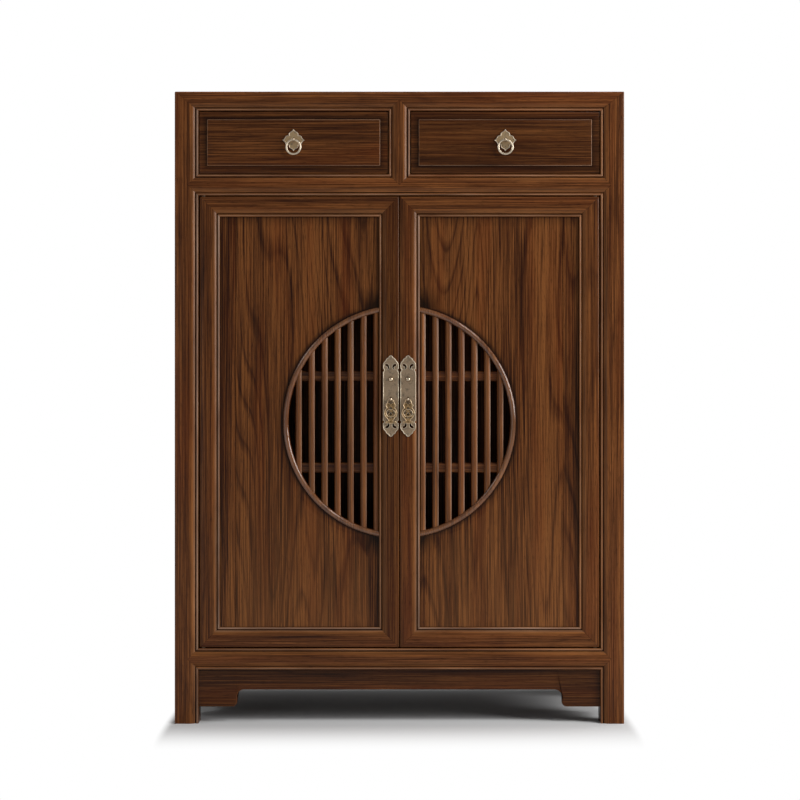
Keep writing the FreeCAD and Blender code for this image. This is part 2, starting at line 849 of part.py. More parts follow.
def apron_body(name, length):
    """Apron with a bracket at each end: length along X, height along Y."""
    span = f"({length})"
    gap = "bracket_height - apron_height"
    corner = "bracket_round * (1 - sqrt(0.5))"
    cove = "bracket_cove * (1 - sqrt(0.5))"
    near = [
        ("bracket_width - bracket_round", "0"),
        (f"bracket_width - {corner}", corner, "bracket_width", "bracket_round"),
        ("bracket_width", f"{gap} - bracket_cove"),
        (f"bracket_width + {cove}", f"{gap} - {cove}", "bracket_width + bracket_cove", gap),
    ]
    far = [(f"{span} - (bracket_width + bracket_cove)", gap)]
    for before, step in zip(near[:-1][::-1], near[1:][::-1]):
        via = (f"{span} - ({step[0]})", step[1]) if len(step) == 4 else ()
        far.append((*via, f"{span} - ({before[-2]})", before[-1]))
    path = [("0", "0"), *near, *far, (span, "0"), (span, "bracket_height"), ("0", "bracket_height")]
    return padded(name, [path], "apron_thickness")


def make_aprons():
    low = "leg_height - bracket_height"
    front = apron_body("front_apron_body", "2 * inner_half")
    put(front, "-inner_half", "front + apron_setback + apron_thickness", low, FreeCAD.Rotation(X_AXIS, 90))
    keep("front_apron", front)
    upright = FreeCAD.Rotation(Y_AXIS, Z_AXIS, X_AXIS, "XYZ")
    pair = []
    for side, x in (("left", "apron_setback - half_width"),
                    ("right", "half_width - apron_setback - apron_thickness")):
        body = apron_body(f"{side}_apron_body", "2 * inner_half_depth")
        pair.append(put(body, x, "behind_posts", low, upright))
    keep("side_aprons", group("side_apron_group", pair))


# Drawers

def eyed_stud(name, place, eye, ball_radius, ball_lead, shank_radius, shank_back):
    """Stud along Y with an eye bored across it and a ball in front; the place is the eye's centre."""
    x, y, z = place
    radius, hole, length = eye
    start = (f"({x}) - ({length}) / 2", y, z)
    lug = rod(name + "_lug", start, radius, length, ALONG_X)
    shank = rod(name + "_shank", place, shank_radius, f"({shank_back}) - ({y})", ALONG_Y)
    head = ball(name + "_ball", (x, f"({y}) - ({ball_lead})", z), ball_radius)
    bore = rod(name + "_bore", start, hole, length, ALONG_X)
    return cut(name, fuse(name + "_solid", [lug, shank, head]), [bore])


def quarter_turns(points):
    """The same steps taken four times round the centre."""
    steps = list(points)
    here = steps
    for quarter in range(3):
        turned_steps = []
        for step in here:
            pairs = [(f"-({step[i + 1]})", step[i]) for i in range(0, len(step), 2)]
            turned_steps.append(tuple(text for pair in pairs for text in pair))
        steps += turned_steps
        here = turned_steps
    return steps


def petal_path():
    """Four pointed petals, begun at the notch right of the top petal."""
    return quarter_turns([
        ("petal_cheek_half", "petal_cheek_reach", "petal_hip_half", "petal_hip_reach"),
        ("petal_waist_half", "petal_waist_reach", "0", "petal_reach"),
        ("-petal_waist_half", "petal_waist_reach", "-petal_hip_half", "petal_hip_reach"),
        ("-petal_cheek_half", "petal_cheek_reach", "-petal_notch", "petal_notch"),
    ])


def make_drawer(side, sign):
    """One drawer with its pull."""
    box_span = ("drawer_inner", "drawer_outer")
    board = block(f"{side}_front_board", mirrored(box_span, sign), ("drawer_face", "drawer_front_back"),
                  ("drawer_low", "drawer_high"))
    field = block(f"{side}_front_field",
                  mirrored(("drawer_inner + field_margin", "drawer_outer - field_margin"), sign),
                  ("drawer_field", "drawer_face"),
                  ("drawer_low + field_margin", "drawer_high - field_margin"))
    side_depth = ("drawer_front_back - drawer_housing", "drawer_end")
    side_height = ("drawer_side_low", "drawer_side_low + drawer_side_height")
    spans = {
        "inner": ("drawer_inner", "drawer_inner + drawer_side_thickness"),
        "outer": ("drawer_outer - drawer_side_thickness", "drawer_outer"),
    }
    walls = [block(f"{side}_{place}_wall", mirrored(span, sign), side_depth, side_height)
             for place, span in spans.items()]
    inside = ("drawer_inner + drawer_side_thickness", "drawer_outer - drawer_side_thickness")
    rear = block(f"{side}_rear_wall", mirrored(inside, sign),
                 ("drawer_end - drawer_side_thickness", "drawer_end"),
                 ("drawer_side_low", "drawer_side_low + drawer_back_height"))
    groove = "drawer_housing"
    bottom = block(f"{side}_bottom_board",
                   mirrored((f"{inside[0]} - {groove}", f"{inside[1]} + {groove}"), sign),
                   (f"drawer_front_back - {groove}", f"drawer_end - drawer_side_thickness + {groove}"),
                   ("drawer_bottom_low", "drawer_bottom_high"))

    x = f"{sign} * (drawer_centre)"
    stud = eyed_stud(f"{side}_pull_stud", (x, "pull_axis", "pull_height"),
                     ("pull_eye_radius", "pull_eye_hole", "pull_eye_length"),
                     "pull_ball_radius", "pull_ball_lead", "pull_shank_radius",
                     "drawer_front_back + nut_thickness + shank_end")
    plate = padded(f"{side}_petals", [petal_path()], "pull_plate_thickness")
    put(plate, x, "drawer_field", "pull_height", FreeCAD.Rotation(X_AXIS, 90))
    nut = rod(f"{side}_nut_blank", (x, "drawer_front_back", "pull_height"), "nut_radius", "nut_thickness",
              ALONG_Y)
    ring = doc.addObject("Part::Torus", f"{side}_ring_torus")
    bind(ring, Radius1="ring_radius", Radius2="ring_wire_radius")
    put(ring, x, "pull_axis", "pull_height - ring_radius", FreeCAD.Rotation(X_AXIS, 90))

    keep(f"{side}_drawer_front", cut(f"{side}_front_cut", fuse(f"{side}_front_solid", [board, field]),
                                     [*walls, bottom, stud]))
    keep(f"{side}_drawer_sides", group(f"{side}_wall_group", [
        cut(f"{side}_{place}_wall_cut", wall, [bottom]) for place, wall in zip(spans, walls)]))
    keep(f"{side}_drawer_back", cut(f"{side}_rear_wall_cut", rear, [bottom]))
    keep(f"{side}_drawer_bottom", bottom)
    keep(f"{side}_pull_plate", cut(f"{side}_petals_cut", plate, [stud]))
    keep(f"{side}_pull_fixings", group(f"{side}_pull_group", [stud, cut(f"{side}_nut", nut, [stud])]))
    keep(f"{side}_pull_ring", ring)


# Doors

def flip(step, sideways, upright):
    """A step mirrored about one or both axes of a plate."""
    signs = [sideways, upright] * (len(step) // 2)
    return tuple(text if sign > 0 else f"-({text})" for sign, text in zip(signs, step))


def plate_path():
    """Upright plate with lobed ends and a notch on each side of each end."""
    tip = "plate_tip"
    below = "plate_tip - plate_notch_below"
    quarter = [
        ("0", tip),
        ("plate_lip_bend_half", f"{tip} - plate_lip_bend_below",
         "plate_lip_half", f"{tip} - plate_lip_below"),
        ("plate_lobe_bend_half", f"{tip} - plate_lobe_bend_below",
         "plate_lobe_half", f"{tip} - plate_lobe_below"),
        ("plate_bend_half", f"{tip} - plate_bend_below", "plate_half", f"{tip} - plate_side_below"),
        ("plate_half", f"{below} + plate_notch_half"),
        ("plate_half - plate_notch_depth", below, "plate_half", f"{below} - plate_notch_half"),
    ]

    def back_along(steps, sideways, upright):
        result = [flip(steps[-1][-2:], sideways, upright)]
        for before, step in zip(steps[:-1][::-1], steps[1:][::-1]):
            result.append(flip((*step[:-2], *before[-2:]), sideways, upright))
        return result

    return [
        *quarter[1:],
        *back_along(quarter, 1, -1),
        *[flip(step, -1, -1) for step in quarter[1:]],
        *back_along(quarter, -1, 1),
    ]


def comma_path(sideways, upright):
    """Comma-shaped piercing: a head that curls outward and a tapering tail."""
    top = "plate_tip - comma_top"
    low = "plate_tip - comma_bottom"
    middle = "plate_tip - (comma_top + comma_bottom) / 2"
    tail = "comma_spread + comma_tail"
    steps = [
        ("comma_waist", middle, "comma_spread", low),
        (tail, low),
        ("comma_inner_waist", middle, tail, f"{top} - comma_thickness"),
        ("comma_spread + comma_head_out", f"{top} - comma_head_drop", "comma_spread", top),
    ]
    return [flip(step, sideways, upright) for step in steps]


def drop_path():
    """Outline of the drop below its loop: shoulders, belly, neck and spread foot."""
    loop = "drop_loop_radius + drop_loop_width / 2"
    down = [
        ("0", "drop_loop_width / 2"),
        (f"({loop}) * sqrt(0.5)", f"({loop}) * sqrt(0.5) - drop_loop_radius", loop, "-drop_loop_radius"),
        ("drop_shoulder_half", "-drop_shoulder_below"),
        ("drop_waist_half", "-drop_waist_below"),
        ("drop_belly_half", "-drop_belly_below", "drop_waist_half", "-drop_hip_below"),
        ("drop_neck_half", "-drop_neck_below"),
        ("drop_foot_bend_half", "-drop_foot_bend_below", "drop_foot_half", "-drop_foot_below"),
        ("drop_hem_half", "-drop_hem_below", "0", "-drop_length"),
    ]
    up = []
    for before, step in zip(down[:-1][::-1], down[1:][::-1]):
        up.append(flip((*step[:-2], *before[-2:]), -1, 1))
    return [*down[1:], *up]


def drop_slit(sideways):
    """Curved slit with blunt ends in the belly of the drop."""
    high = "slit_half_height - drop_belly_below"
    low = "-slit_half_height - drop_belly_below"
    steps = [
        ("slit_far_belly", "-drop_belly_below", "slit_far", low),
        ("slit_near", low),
        ("slit_near_belly", "-drop_belly_below", "slit_near", high),
        ("slit_far", high),
    ]
    return [flip(step, sideways, 1) for step in steps]


def make_lattice(side, sign):
    """Seven upright bars and two crossbars behind them, inside the moon ring."""
    span = mirrored(("stile_edge", "moon_inner"), sign)
    disc = rod(f"{side}_lattice_disc", ("0", "door_face", "door_middle"), "moon_inner", "door_thickness",
               ALONG_Y)
    half = block(f"{side}_lattice_half", span, ("door_face", "door_back"),
                 ("door_middle - moon_inner", "door_middle + moon_inner"))
    field = common(f"{side}_lattice_field", disc, half)
    path = [
        ("0", "bar_back - bar_front"),
        ("0", "bar_round"),
        ("bar_width / 2", "0", "bar_width", "bar_round"),
        ("bar_width", "bar_back - bar_front"),
    ]
    bars = padded(f"{side}_bars", [path], "2 * moon_inner")
    bars.AllowCompound = True
    sketch, pad = bars.Group
    row = bars.newObject("PartDesign::LinearPattern", f"{side}_bar_row")
    row.Originals = [pad]
    row.Direction = (sketch, ["H_Axis"])
    row.Occurrences = BAR_COUNT
    bind(row, Length="bar_row")
    bars.Tip = row
    near = "stile_edge - bar_tuck"
    start = near if sign > 0 else f"-({near} + bar_row + bar_width)"
    put(bars, start, "door_face + bar_front", "door_middle - moon_inner")
    rows = [common(f"{side}_bars_trimmed", bars, field)]
    for place, level in (("lower", "door_middle - crossbar_offset"),
                         ("upper", "door_middle + crossbar_offset")):
        strip = block(f"{side}_{place}_strip", span, ("door_face + bar_back", "door_face + crossbar_back"),
                      (f"{level} - crossbar_height / 2", f"{level} + crossbar_height / 2"))
        rows.append(common(f"{side}_{place}_crossbar", strip, field))
    return group(f"{side}_lattice_group", rows)


def make_door(side, sign):
    """One door with its window, pins, plate, studs, strike and drop."""
    name = f"{side}_door"
    hinge_span = mirrored(("hinge_stile_edge", "door_outer"), sign)
    meeting_span = mirrored(("door_inner", "stile_edge"), sign)
    hinge_edges = (bead_edge(), round_edge("door_edge_round"))
    meeting_edges = (round_edge("corner_round"), bead_edge())
    if sign < 0:
        hinge_edges = hinge_edges[::-1]
        meeting_edges = meeting_edges[::-1]
    cuts = {1: ("stile_width", "0"), -1: ("0", "stile_width")}
    stile_place = ("door_face", "door_low")
    hinge_path = moulded_path("stile_width", "door_thickness", *hinge_edges)
    meeting_path = moulded_path("stile_width", "door_thickness", *meeting_edges)
    hinge = mitred_bar(f"{name}_hinge", hinge_path, "door_height", "door_thickness",
                       (hinge_span[0], *stile_place), NO_TURN, *cuts[sign])
    meeting = mitred_bar(f"{name}_meeting", meeting_path, "door_height", "door_thickness",
                         (meeting_span[0], *stile_place), NO_TURN, *cuts[-sign])
    rail_x = mirrored(("door_inner", "door_outer"), sign)[1]
    rails = {}
    for place, low, edges, turn_cuts in (
            ("lower", "door_low", (round_edge("corner_round"), bead_edge()), cuts[-1]),
            ("upper", "door_high - stile_width", (bead_edge(), round_edge("corner_round")), cuts[1])):
        path = moulded_path("stile_width", "door_thickness", *edges)
        rails[place] = mitred_bar(f"{name}_{place}", path, "door_width", "door_thickness",
                                  (rail_x, "door_face", low), RAIL_TURNS["front"], *turn_cuts)

    panel_blank = block(f"{name}_panel_blank",
                        mirrored(("stile_edge - panel_tongue", "hinge_stile_edge + panel_tongue"), sign),
                        ("door_panel_front", "door_panel_back"),
                        ("door_low + stile_width - panel_tongue", "door_high - stile_width + panel_tongue"))
    window = rod(f"{name}_window", ("0", "door_panel_front", "door_middle"), "moon_radius",
                 "door_panel_thickness", ALONG_Y)
    panel = cut(f"{name}_panel_cut", panel_blank, [window])

    hoop_shoulder = "moon_ring_front + moon_ring_round"
    hoop_path = [
        ("moon_inner", "moon_ring_back"),
        ("moon_inner", hoop_shoulder),
        ("moon_radius - moon_ring_width / 2", "moon_ring_front", "moon_radius", hoop_shoulder),
        ("moon_radius", "moon_ring_back"),
    ]
    hoop = put(turned(f"{name}_hoop", hoop_path), "0", "door_face", "door_middle")
    hoop_half = block(f"{name}_hoop_half", mirrored(("stile_edge", "moon_radius"), sign),
                      ("door_face", "door_back"),
                      ("door_middle - moon_radius", "door_middle + moon_radius"))

    pins = []
    pivot_x = f"{sign} * (pivot_offset)"
    pin_length = "pin_in_door + door_gap + pin_in_rail"
    for place, low in (("lower", "bottom_high - pin_in_rail"), ("upper", "door_high - pin_in_door")):
        pins.append(rod(f"{name}_{place}_pin", (pivot_x, "pivot_depth", low), "pin_radius", pin_length))

    plate_x = f"{sign} * plate_offset"
    flat_on_door = FreeCAD.Rotation(X_AXIS, 90)
    plate_place = (plate_x, "door_face", "plate_centre", flat_on_door)
    plate_blank = put(padded(f"{name}_plate_body", [plate_path()], "plate_thickness"), *plate_place)
    commas = [put(padded(f"{name}_comma", [comma_path(sideways, upright)], "plate_thickness"), *plate_place)
              for sideways in (1, -1) for upright in (1, -1)]
    shank_back = "door_face + shank_depth"
    knob_depth = "front - knob_reach + knob_radius"
    knob_place = (plate_x, knob_depth, "knob_height")
    neck = rod(f"{name}_knob_neck", knob_place, "knob_neck_radius", f"{shank_back} - ({knob_depth})", ALONG_Y)
    head = ball(f"{name}_knob_head", knob_place, "knob_radius")
    studs = [fuse(f"{name}_knob", [neck, head])]
    studs.append(eyed_stud(f"{name}_drop_stud", (plate_x, "drop_axis", "drop_height"),
                           ("drop_eye_radius", "drop_eye_hole", "drop_eye_length"), "drop_ball_radius",
                           "drop_loop_radius", "drop_shank_radius", shank_back))
    for place, level in (("lower", "plate_centre - plate_tip + nail_inset"),
                         ("upper", "plate_centre + plate_tip - nail_inset")):
        studs.append(rod(f"{name}_{place}_nail", (plate_x, "plate_face - nail_head", level), "nail_radius",
                         f"{shank_back} - (plate_face - nail_head)", ALONG_Y))

    holes = [(("0", f"-drop_belly_below + {step} * drop_hole_pitch"), "drop_hole_radius")
             for step in (1, 0, -1)]
    loop_hole = (("0", "-drop_loop_radius"), "drop_loop_radius - drop_loop_width / 2")
    drop_place = (plate_x, "drop_axis + drop_thickness / 2", "drop_height", flat_on_door)
    drop_blank = padded(f"{name}_drop_body", [drop_path()], "drop_thickness", [loop_hole, *holes])
    slits = [put(padded(f"{name}_slit", [drop_slit(sideways)], "drop_thickness"), *drop_place)
             for sideways in (1, -1)]
    drop = cut(f"{name}_drop_cut", put(drop_blank, *drop_place), slits)

    strike_mid = "catch_offset + catch_length / 2"
    strike_span = (f"{strike_mid} - strike_length / 2", f"{strike_mid} + strike_length / 2")
    keep(f"{side}_strike", block(f"{name}_strike_plate", mirrored(strike_span, sign),
                                 ("door_back", "door_back + strike_thickness"),
                                 ("door_high - catch_height", "door_high - door_gap")))
    keep(f"{side}_hinge_stile", cut(f"{name}_hinge_cut", hinge, [panel, *pins]))
    keep(f"{side}_meeting_stile", cut(f"{name}_meeting_cut", meeting, [panel, *studs]))
    keep(f"{side}_door_rails", group(f"{name}_rail_group", [
        cut(f"{name}_{place}_rail_cut", rail, [panel, *pins]) for place, rail in rails.items()]))
    keep(f"{side}_door_panel", panel)
    keep(f"{side}_moon_ring", common(f"{name}_hoop_trimmed", hoop, hoop_half))
    keep(f"{side}_lattice", make_lattice(side, sign))
    keep(f"{side}_pivot_pins", group(f"{name}_pin_group", pins))
    keep(f"{side}_door_plate", cut(f"{name}_plate_cut", plate_blank, [*commas, *studs]))
    keep(f"{side}_plate_studs", group(f"{name}_stud_group", studs))
    keep(f"{side}_drop_pull", drop)


make_frame()
make_interior()
make_aprons()
for side, sign in SIDES.items():
    make_drawer(side, sign)
    make_door(side, sign)
doc.recompute()

# Every object must be sound before anything is written.
for item in doc.Objects:
    if "Invalid" in item.State or "Error" in item.State:
        raise RuntimeError(f"{item.Label} is not sound: {item.State}")
os.makedirs("parts", exist_ok=True)
for label, item in nodes.items():
    if item.Shape.isNull() or not item.Shape.isValid() or not item.Shape.Solids:
        raise RuntimeError(f"{label} has no valid solid")
    item.Shape.exportStep(f"parts/{label}.step")
    print(label, len(item.Shape.Solids), round(item.Shape.Volume))
print(len(nodes), "nodes")
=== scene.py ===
"""Looks of an East Asian accent cabinet: moulded frame, moon window, brass fittings and studio."""

import math
from functools import partial

import bmesh
import bpy
import numpy as np
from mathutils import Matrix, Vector


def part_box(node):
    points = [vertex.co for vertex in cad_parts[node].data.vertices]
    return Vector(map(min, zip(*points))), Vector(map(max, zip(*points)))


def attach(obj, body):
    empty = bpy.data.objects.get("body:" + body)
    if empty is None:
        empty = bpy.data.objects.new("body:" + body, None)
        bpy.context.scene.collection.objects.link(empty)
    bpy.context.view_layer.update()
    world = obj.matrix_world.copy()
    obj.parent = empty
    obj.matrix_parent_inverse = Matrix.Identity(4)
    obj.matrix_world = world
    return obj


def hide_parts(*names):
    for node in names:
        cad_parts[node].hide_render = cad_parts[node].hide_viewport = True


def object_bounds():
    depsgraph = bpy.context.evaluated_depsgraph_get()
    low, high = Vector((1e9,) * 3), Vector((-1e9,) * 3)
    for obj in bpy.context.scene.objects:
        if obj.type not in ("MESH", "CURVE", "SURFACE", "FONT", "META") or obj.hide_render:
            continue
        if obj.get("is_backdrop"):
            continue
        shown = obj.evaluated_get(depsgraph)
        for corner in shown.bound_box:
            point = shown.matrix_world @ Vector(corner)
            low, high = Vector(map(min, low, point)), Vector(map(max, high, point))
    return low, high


bl_info = {
    "name": "Moon window cabinet",
    "version": (1, 0, 0),
    "blender": (4, 5, 0),
    "location": "View3D > Sidebar > Cabinet",
    "description": "Dresses the cabinet's frame with moulded elm, lattice and brass",
    "category": "Object",
}

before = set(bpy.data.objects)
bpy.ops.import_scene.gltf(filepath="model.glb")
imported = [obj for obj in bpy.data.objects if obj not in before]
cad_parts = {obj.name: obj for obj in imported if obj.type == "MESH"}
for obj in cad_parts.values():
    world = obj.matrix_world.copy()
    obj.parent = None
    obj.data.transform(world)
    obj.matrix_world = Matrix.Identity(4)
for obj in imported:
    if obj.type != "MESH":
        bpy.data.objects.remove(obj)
CAD_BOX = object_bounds()

MM = 0.001
SIDES = {"left": -1, "right": 1}
X_AXIS, Y_AXIS, Z_AXIS = np.eye(3)
RIGHT_ANGLE = math.pi / 2
# Brings points of an outline's right half to its left half.
MIRROR = np.array([-1.0, 1.0])

# Wear and painted light of a surface point: 0 is a hollow where stain gathers and 0.2 painted shade; 1 is an
# edge rubbed pale, partly a painted highlight.
HOLLOW = 0.0
SHADED = 0.2
PLAIN = 0.5

# Every board is cut from its own place in the log; one fixed seed keeps the figure the same each run.
log_places = np.random.default_rng(11)
LOG_SPREAD = 30.0


def length(name, description, millimetres):
    """A length property with its default given in millimetres."""
    return bpy.props.FloatProperty(name=name, description=description, default=millimetres * MM,
                                   min=0.0, precision=5, subtype="DISTANCE", unit="LENGTH")


def colour(name, description, text):
    """A colour property with its default given as sRGB hex."""
    return bpy.props.FloatVectorProperty(name=name, description=description, default=to_linear(text),
                                         size=3, min=0.0, max=1.0, subtype="COLOR")


def to_linear(text):
    """Linear RGB of an sRGB hex colour."""
    parts = np.array([int(text[i:i + 2], 16) for i in (1, 3, 5)]) / 255.0
    return np.where(parts <= 0.04045, parts / 12.92, ((parts + 0.055) / 1.055) ** 2.4).tolist()


class CabinetMoulding(bpy.types.PropertyGroup):
    """Moulding and joints of the frame members."""

    bead_width: length("Bead width", "Width of the bead along an edge", 4.5)
    bead_rise: length("Bead rise", "Height of the bead above its groove", 2.2)
    groove_width: length("Groove width", "Width of the groove beside the bead", 1.5)
    groove_floor: length("Groove depth", "Depth of the groove below the face", 4.6)
    shoulder_run: length("Shoulder run", "Width of the rounded shoulder", 9.0)
    shoulder_drop: length("Shoulder drop", "Depth of the shoulder at the groove", 4.2)
    corner_round: length("Corner round", "Radius of plain outer corners", 2.5)
    door_round: length("Door edge round", "Radius of the doors' hinge edges", 3.0)
    lap_depth: length("Lap depth", "Depth of the pointed laps", 14.0)
    seam: length("Joint line", "Half the open line at a joint", 0.18)


class CabinetWood(bpy.types.PropertyGroup):
    """Stained elm."""

    dark: colour("Late wood", "Dark lines of the figure", "#28140a")
    middle: colour("Stained wood", "Main colour", "#522e17")
    light: colour("Early wood", "Light bands of the figure", "#7e4d27")
    red: colour("Warm streak", "Reddish streaks", "#693013")
    # painted light: the hollow colour also paints shade, the polished colour paints light on shoulders and
    # the rubbed colour paints highlights
    hollow_and_shade: colour("Hollow", "Stain in grooves, and painted shade", "#0c0603")
    polished: colour("Polished", "Shoulders polished, and painted light on them", "#a9703f")
    rubbed: colour("Rubbed edge", "Edges rubbed pale", "#bda18b")
    # painted shade: the inside boards are coloured near black, as the dark inside of the cabinet
    inside: colour("Inside", "Inside boards, painted dark as shade", "#22160e")
    plain: colour("Drawer wood", "Drawer boxes", "#8a6443")


class CabinetMetal(bpy.types.PropertyGroup):
    """Antique brass and steel."""

    field: colour("Field", "Dulled brass", "#8c745a")
    golden: colour("Golden", "Brass of the drops", "#a07a45")
    petal: colour("Petal", "Brass of the pull plates", "#a98a60")
    tarnish: colour("Tarnish", "Dark tarnish", "#3a2d20")
    rubbed: colour("Rubbed", "Edges polished by hands", "#e6dac4")
    strike: colour("Strike", "Steel of the strikes", "#8f8f92")
    catch: colour("Catch", "Blackened steel of the catches", "#3a3a3d")


class CabinetStudio(bpy.types.PropertyGroup):
    """Camera and paper."""

    lens: bpy.props.FloatProperty(name="Lens", description="Focal length in millimetres", default=85.0)
    sensor: bpy.props.FloatProperty(name="Sensor", description="Its width in millimetres", default=36.0)
    distance: length("Distance", "From the camera to the front", 3360.0)
    eye_height: length("Eye height", "Height of the camera", 576.0)
    eye_shift: length("Eye shift", "The camera's place right of the middle", 1.0)
    floor_half: length("Floor", "Half the width of the floor", 6000.0)
    paper: colour("Paper", "Floor", "#dedede")
    fleck: colour("Fleck", "Pale flecks of the floor", "#e2e2e2")


def settings(name):
    """One group of the scene's properties."""
    return getattr(bpy.context.scene, "cabinet_" + name)


# Meshes: a shell gathers grids and flat faces of one board in its own coordinates

def place_points(along, across, depth):
    """Points whose three coordinates are arrays or single numbers."""
    return np.stack(np.broadcast_arrays(along, across, depth), axis=-1).astype(float)


class Shell:
    """One board: points are (along the grain, across it, in from the face)."""

    def __init__(self):
        self.points, self.wear, self.faces = [], [], []
        self.count = 0

    def take(self, points, wear):
        """Keep points and their wear."""
        self.points.append(points)
        self.wear.append(wear)
        self.count += len(points)

    def grid(self, points, wear=PLAIN):
        """Quads over a grid of points."""
        rows, columns = points.shape[:2]
        index = self.count + np.arange(rows * columns).reshape(rows, columns)
        quads = np.stack([index[:-1, :-1], index[1:, :-1], index[1:, 1:], index[:-1, 1:]], axis=-1)
        self.faces += quads.reshape(-1, 4).tolist()
        self.take(points.reshape(-1, 3), np.broadcast_to(wear, (rows, columns)).ravel())

    def face(self, points):
        """One flat face."""
        self.faces.append(list(range(self.count, self.count + len(points))))
        self.take(points, np.full(len(points), PLAIN))

    def tube(self, points, wear, around=1):
        """A grid that closes on itself along one axis, and a flat face over each of its ends."""
        self.grid(points, wear)
        for end in (0, -1):
            self.face(points[end, :-1] if around else points[:-1, end])
        return self

    def placed(self, origin, along, across, depth):
        """Lay the board in the cabinet: origin plus each coordinate times its direction."""
        self.grain = np.concatenate(self.points) + log_places.uniform(0.0, LOG_SPREAD, 3)
        self.world = np.asarray(origin) + np.concatenate(self.points) @ np.stack([along, across, depth])
        return self


MERGE_DISTANCE = 2e-6
SHARP_ANGLE = math.radians(38.0)


def make_piece(name, shells, material, body, nodes):
    """Turn placed shells into one object that rides on a body and stands for CAD nodes."""
    offsets = np.cumsum([0] + [shell.count for shell in shells[:-1]])
    world = np.concatenate([shell.world for shell in shells])
    # faces that meet share points, and the surface laid first gives a shared point its wear and painted
    # light
    _, first, shared = np.unique(np.round(world / MERGE_DISTANCE), axis=0, return_index=True,
                                 return_inverse=True)
    shared = shared.ravel()
    faces = [shared[np.array(face) + offset].tolist()
             for shell, offset in zip(shells, offsets) for face in shell.faces]
    faces = [[index for before, index in zip(face[-1:] + face[:-1], face) if index != before]
             for face in faces]
    mesh = bpy.data.meshes.new(name)
    mesh.from_pydata(world[first], [], [face for face in faces if len(face) > 2])
    grain = mesh.attributes.new("grain", "FLOAT_VECTOR", "POINT")
    grain.data.foreach_set("vector", np.concatenate([shell.grain for shell in shells])[first].ravel())
    # each point's wear, painted shade and painted highlights
    wear = mesh.attributes.new("wear", "FLOAT", "POINT")
    wear.data.foreach_set("value", np.concatenate([part for shell in shells for part in shell.wear])[first])
    work = bmesh.new()
    work.from_mesh(mesh)
    bmesh.ops.remove_doubles(work, verts=work.verts, dist=MERGE_DISTANCE)
    bmesh.ops.dissolve_degenerate(work, edges=work.edges, dist=MERGE_DISTANCE)
    bmesh.ops.recalc_face_normals(work, faces=work.faces)
    work.to_mesh(mesh)
    work.free()
    mesh.shade_smooth()
    mesh.set_sharp_from_angle(angle=SHARP_ANGLE)
    mesh.materials.append(material)
    piece = bpy.data.objects.new(name, mesh)
    bpy.context.scene.collection.objects.link(piece)
    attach(piece, body)
    if nodes:
        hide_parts(*nodes)


def stand_in(node, ending, shells, material, body):
    """A piece that stands for one CAD node and is named after it."""
    make_piece(f"{node}_{ending}", shells, material, body, [node])


BEVEL_STEPS = 3


def dress_node(node, material, edge=0.0, edge_material=None):
    """Give a CAD node its material, and a small rounding along its edges where it has one."""
    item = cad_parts[node]
    item.data.materials.clear()
    item.data.materials.append(material)
    if edge > 0.0:
        item.data.materials.append(edge_material)
        weld = item.modifiers.new("Joined faces", "WELD")
        weld.merge_threshold = MERGE_DISTANCE
        bevel = item.modifiers.new("Rubbed edges", "BEVEL")
        bevel.width = edge
        bevel.segments = BEVEL_STEPS
        bevel.limit_method = "ANGLE"
        bevel.angle_limit = SHARP_ANGLE
        bevel.material = 1


def box_of(node, sign=1):
    """Corners of a CAD node's box; with sign -1 those of its mirror image."""
    low, high = (np.array(corner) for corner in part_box(node))
    if sign < 0:
        low[0], high[0] = -high[0], -low[0]
    return low, high


# Sections

BEAD_STEPS = 11
SHOULDER_STEPS = 7
ROUND_STEPS = 5
CROWN_STEPS = 9
ROUND_RUB = 0.06
# Wear and painted highlight of a bead that faces the light from the right, of one that faces away from it
# and of a level one.
LIT_BEAD = 0.42
DIM_BEAD = 0.26
LEVEL_BEAD = 0.28
# Wear and painted light of a shoulder as a share of its bead's.
SHOULDER_SHARE = 0.57


def hump(count):
    """Numbers that rise from 0 to 1 and fall back along half a sine wave."""
    return np.sin(np.linspace(0.0, math.pi, count))


def arc(start, via, stop, count):
    """Evenly spaced points of the circle through three points."""
    first, middle, last = (complex(*point) for point in (start, via, stop))
    ratio = (last - first) / (middle - first)
    centre = first - (first - middle) * (ratio - abs(ratio) ** 2) / (2j * ratio.imag)
    sweep = np.angle((middle - centre) / (first - centre)) + np.angle((last - centre) / (middle - centre))
    points = centre + (first - centre) * np.exp(1j * sweep * np.linspace(0.0, 1.0, count))
    return np.stack([points.real, points.imag], axis=-1)


def bead_edge(rub):
    """Edge section, from the side to the flat face: round bead, square groove, rounded shoulder."""
    mould = settings("moulding")
    floor, width, run, drop = mould.groove_floor, mould.bead_width, mould.shoulder_run, mould.shoulder_drop
    bead = arc((0.0, floor), (width / 2, floor - mould.bead_rise), (width, floor), BEAD_STEPS)
    near = width + mould.groove_width
    radius = (run ** 2 + drop ** 2) / (2 * drop)
    sag = radius - math.sqrt(radius ** 2 - run ** 2 / 4)
    shoulder = arc((near, drop), (near + run / 2, sag), (near + run, 0.0), SHOULDER_STEPS)
    # painted highlight and wear: a pale crest on the bead and a lighter fall on the shoulder
    crest = PLAIN + rub * hump(BEAD_STEPS) ** 2
    crest[[0, -1]] = HOLLOW
    fall = PLAIN + SHOULDER_SHARE * rub * np.cos(np.linspace(0.0, RIGHT_ANGLE, SHOULDER_STEPS))
    return np.concatenate([bead, [(near, floor)], shoulder]), np.concatenate([crest, [HOLLOW], fall])


def round_edge(radius):
    """Edge section of a quarter round, from the side to the flat face."""
    middle = radius * (1.0 - math.sqrt(0.5))
    points = arc((0.0, radius), (middle, middle), (radius, 0.0), ROUND_STEPS)
    return points, PLAIN + ROUND_RUB * hump(ROUND_STEPS)


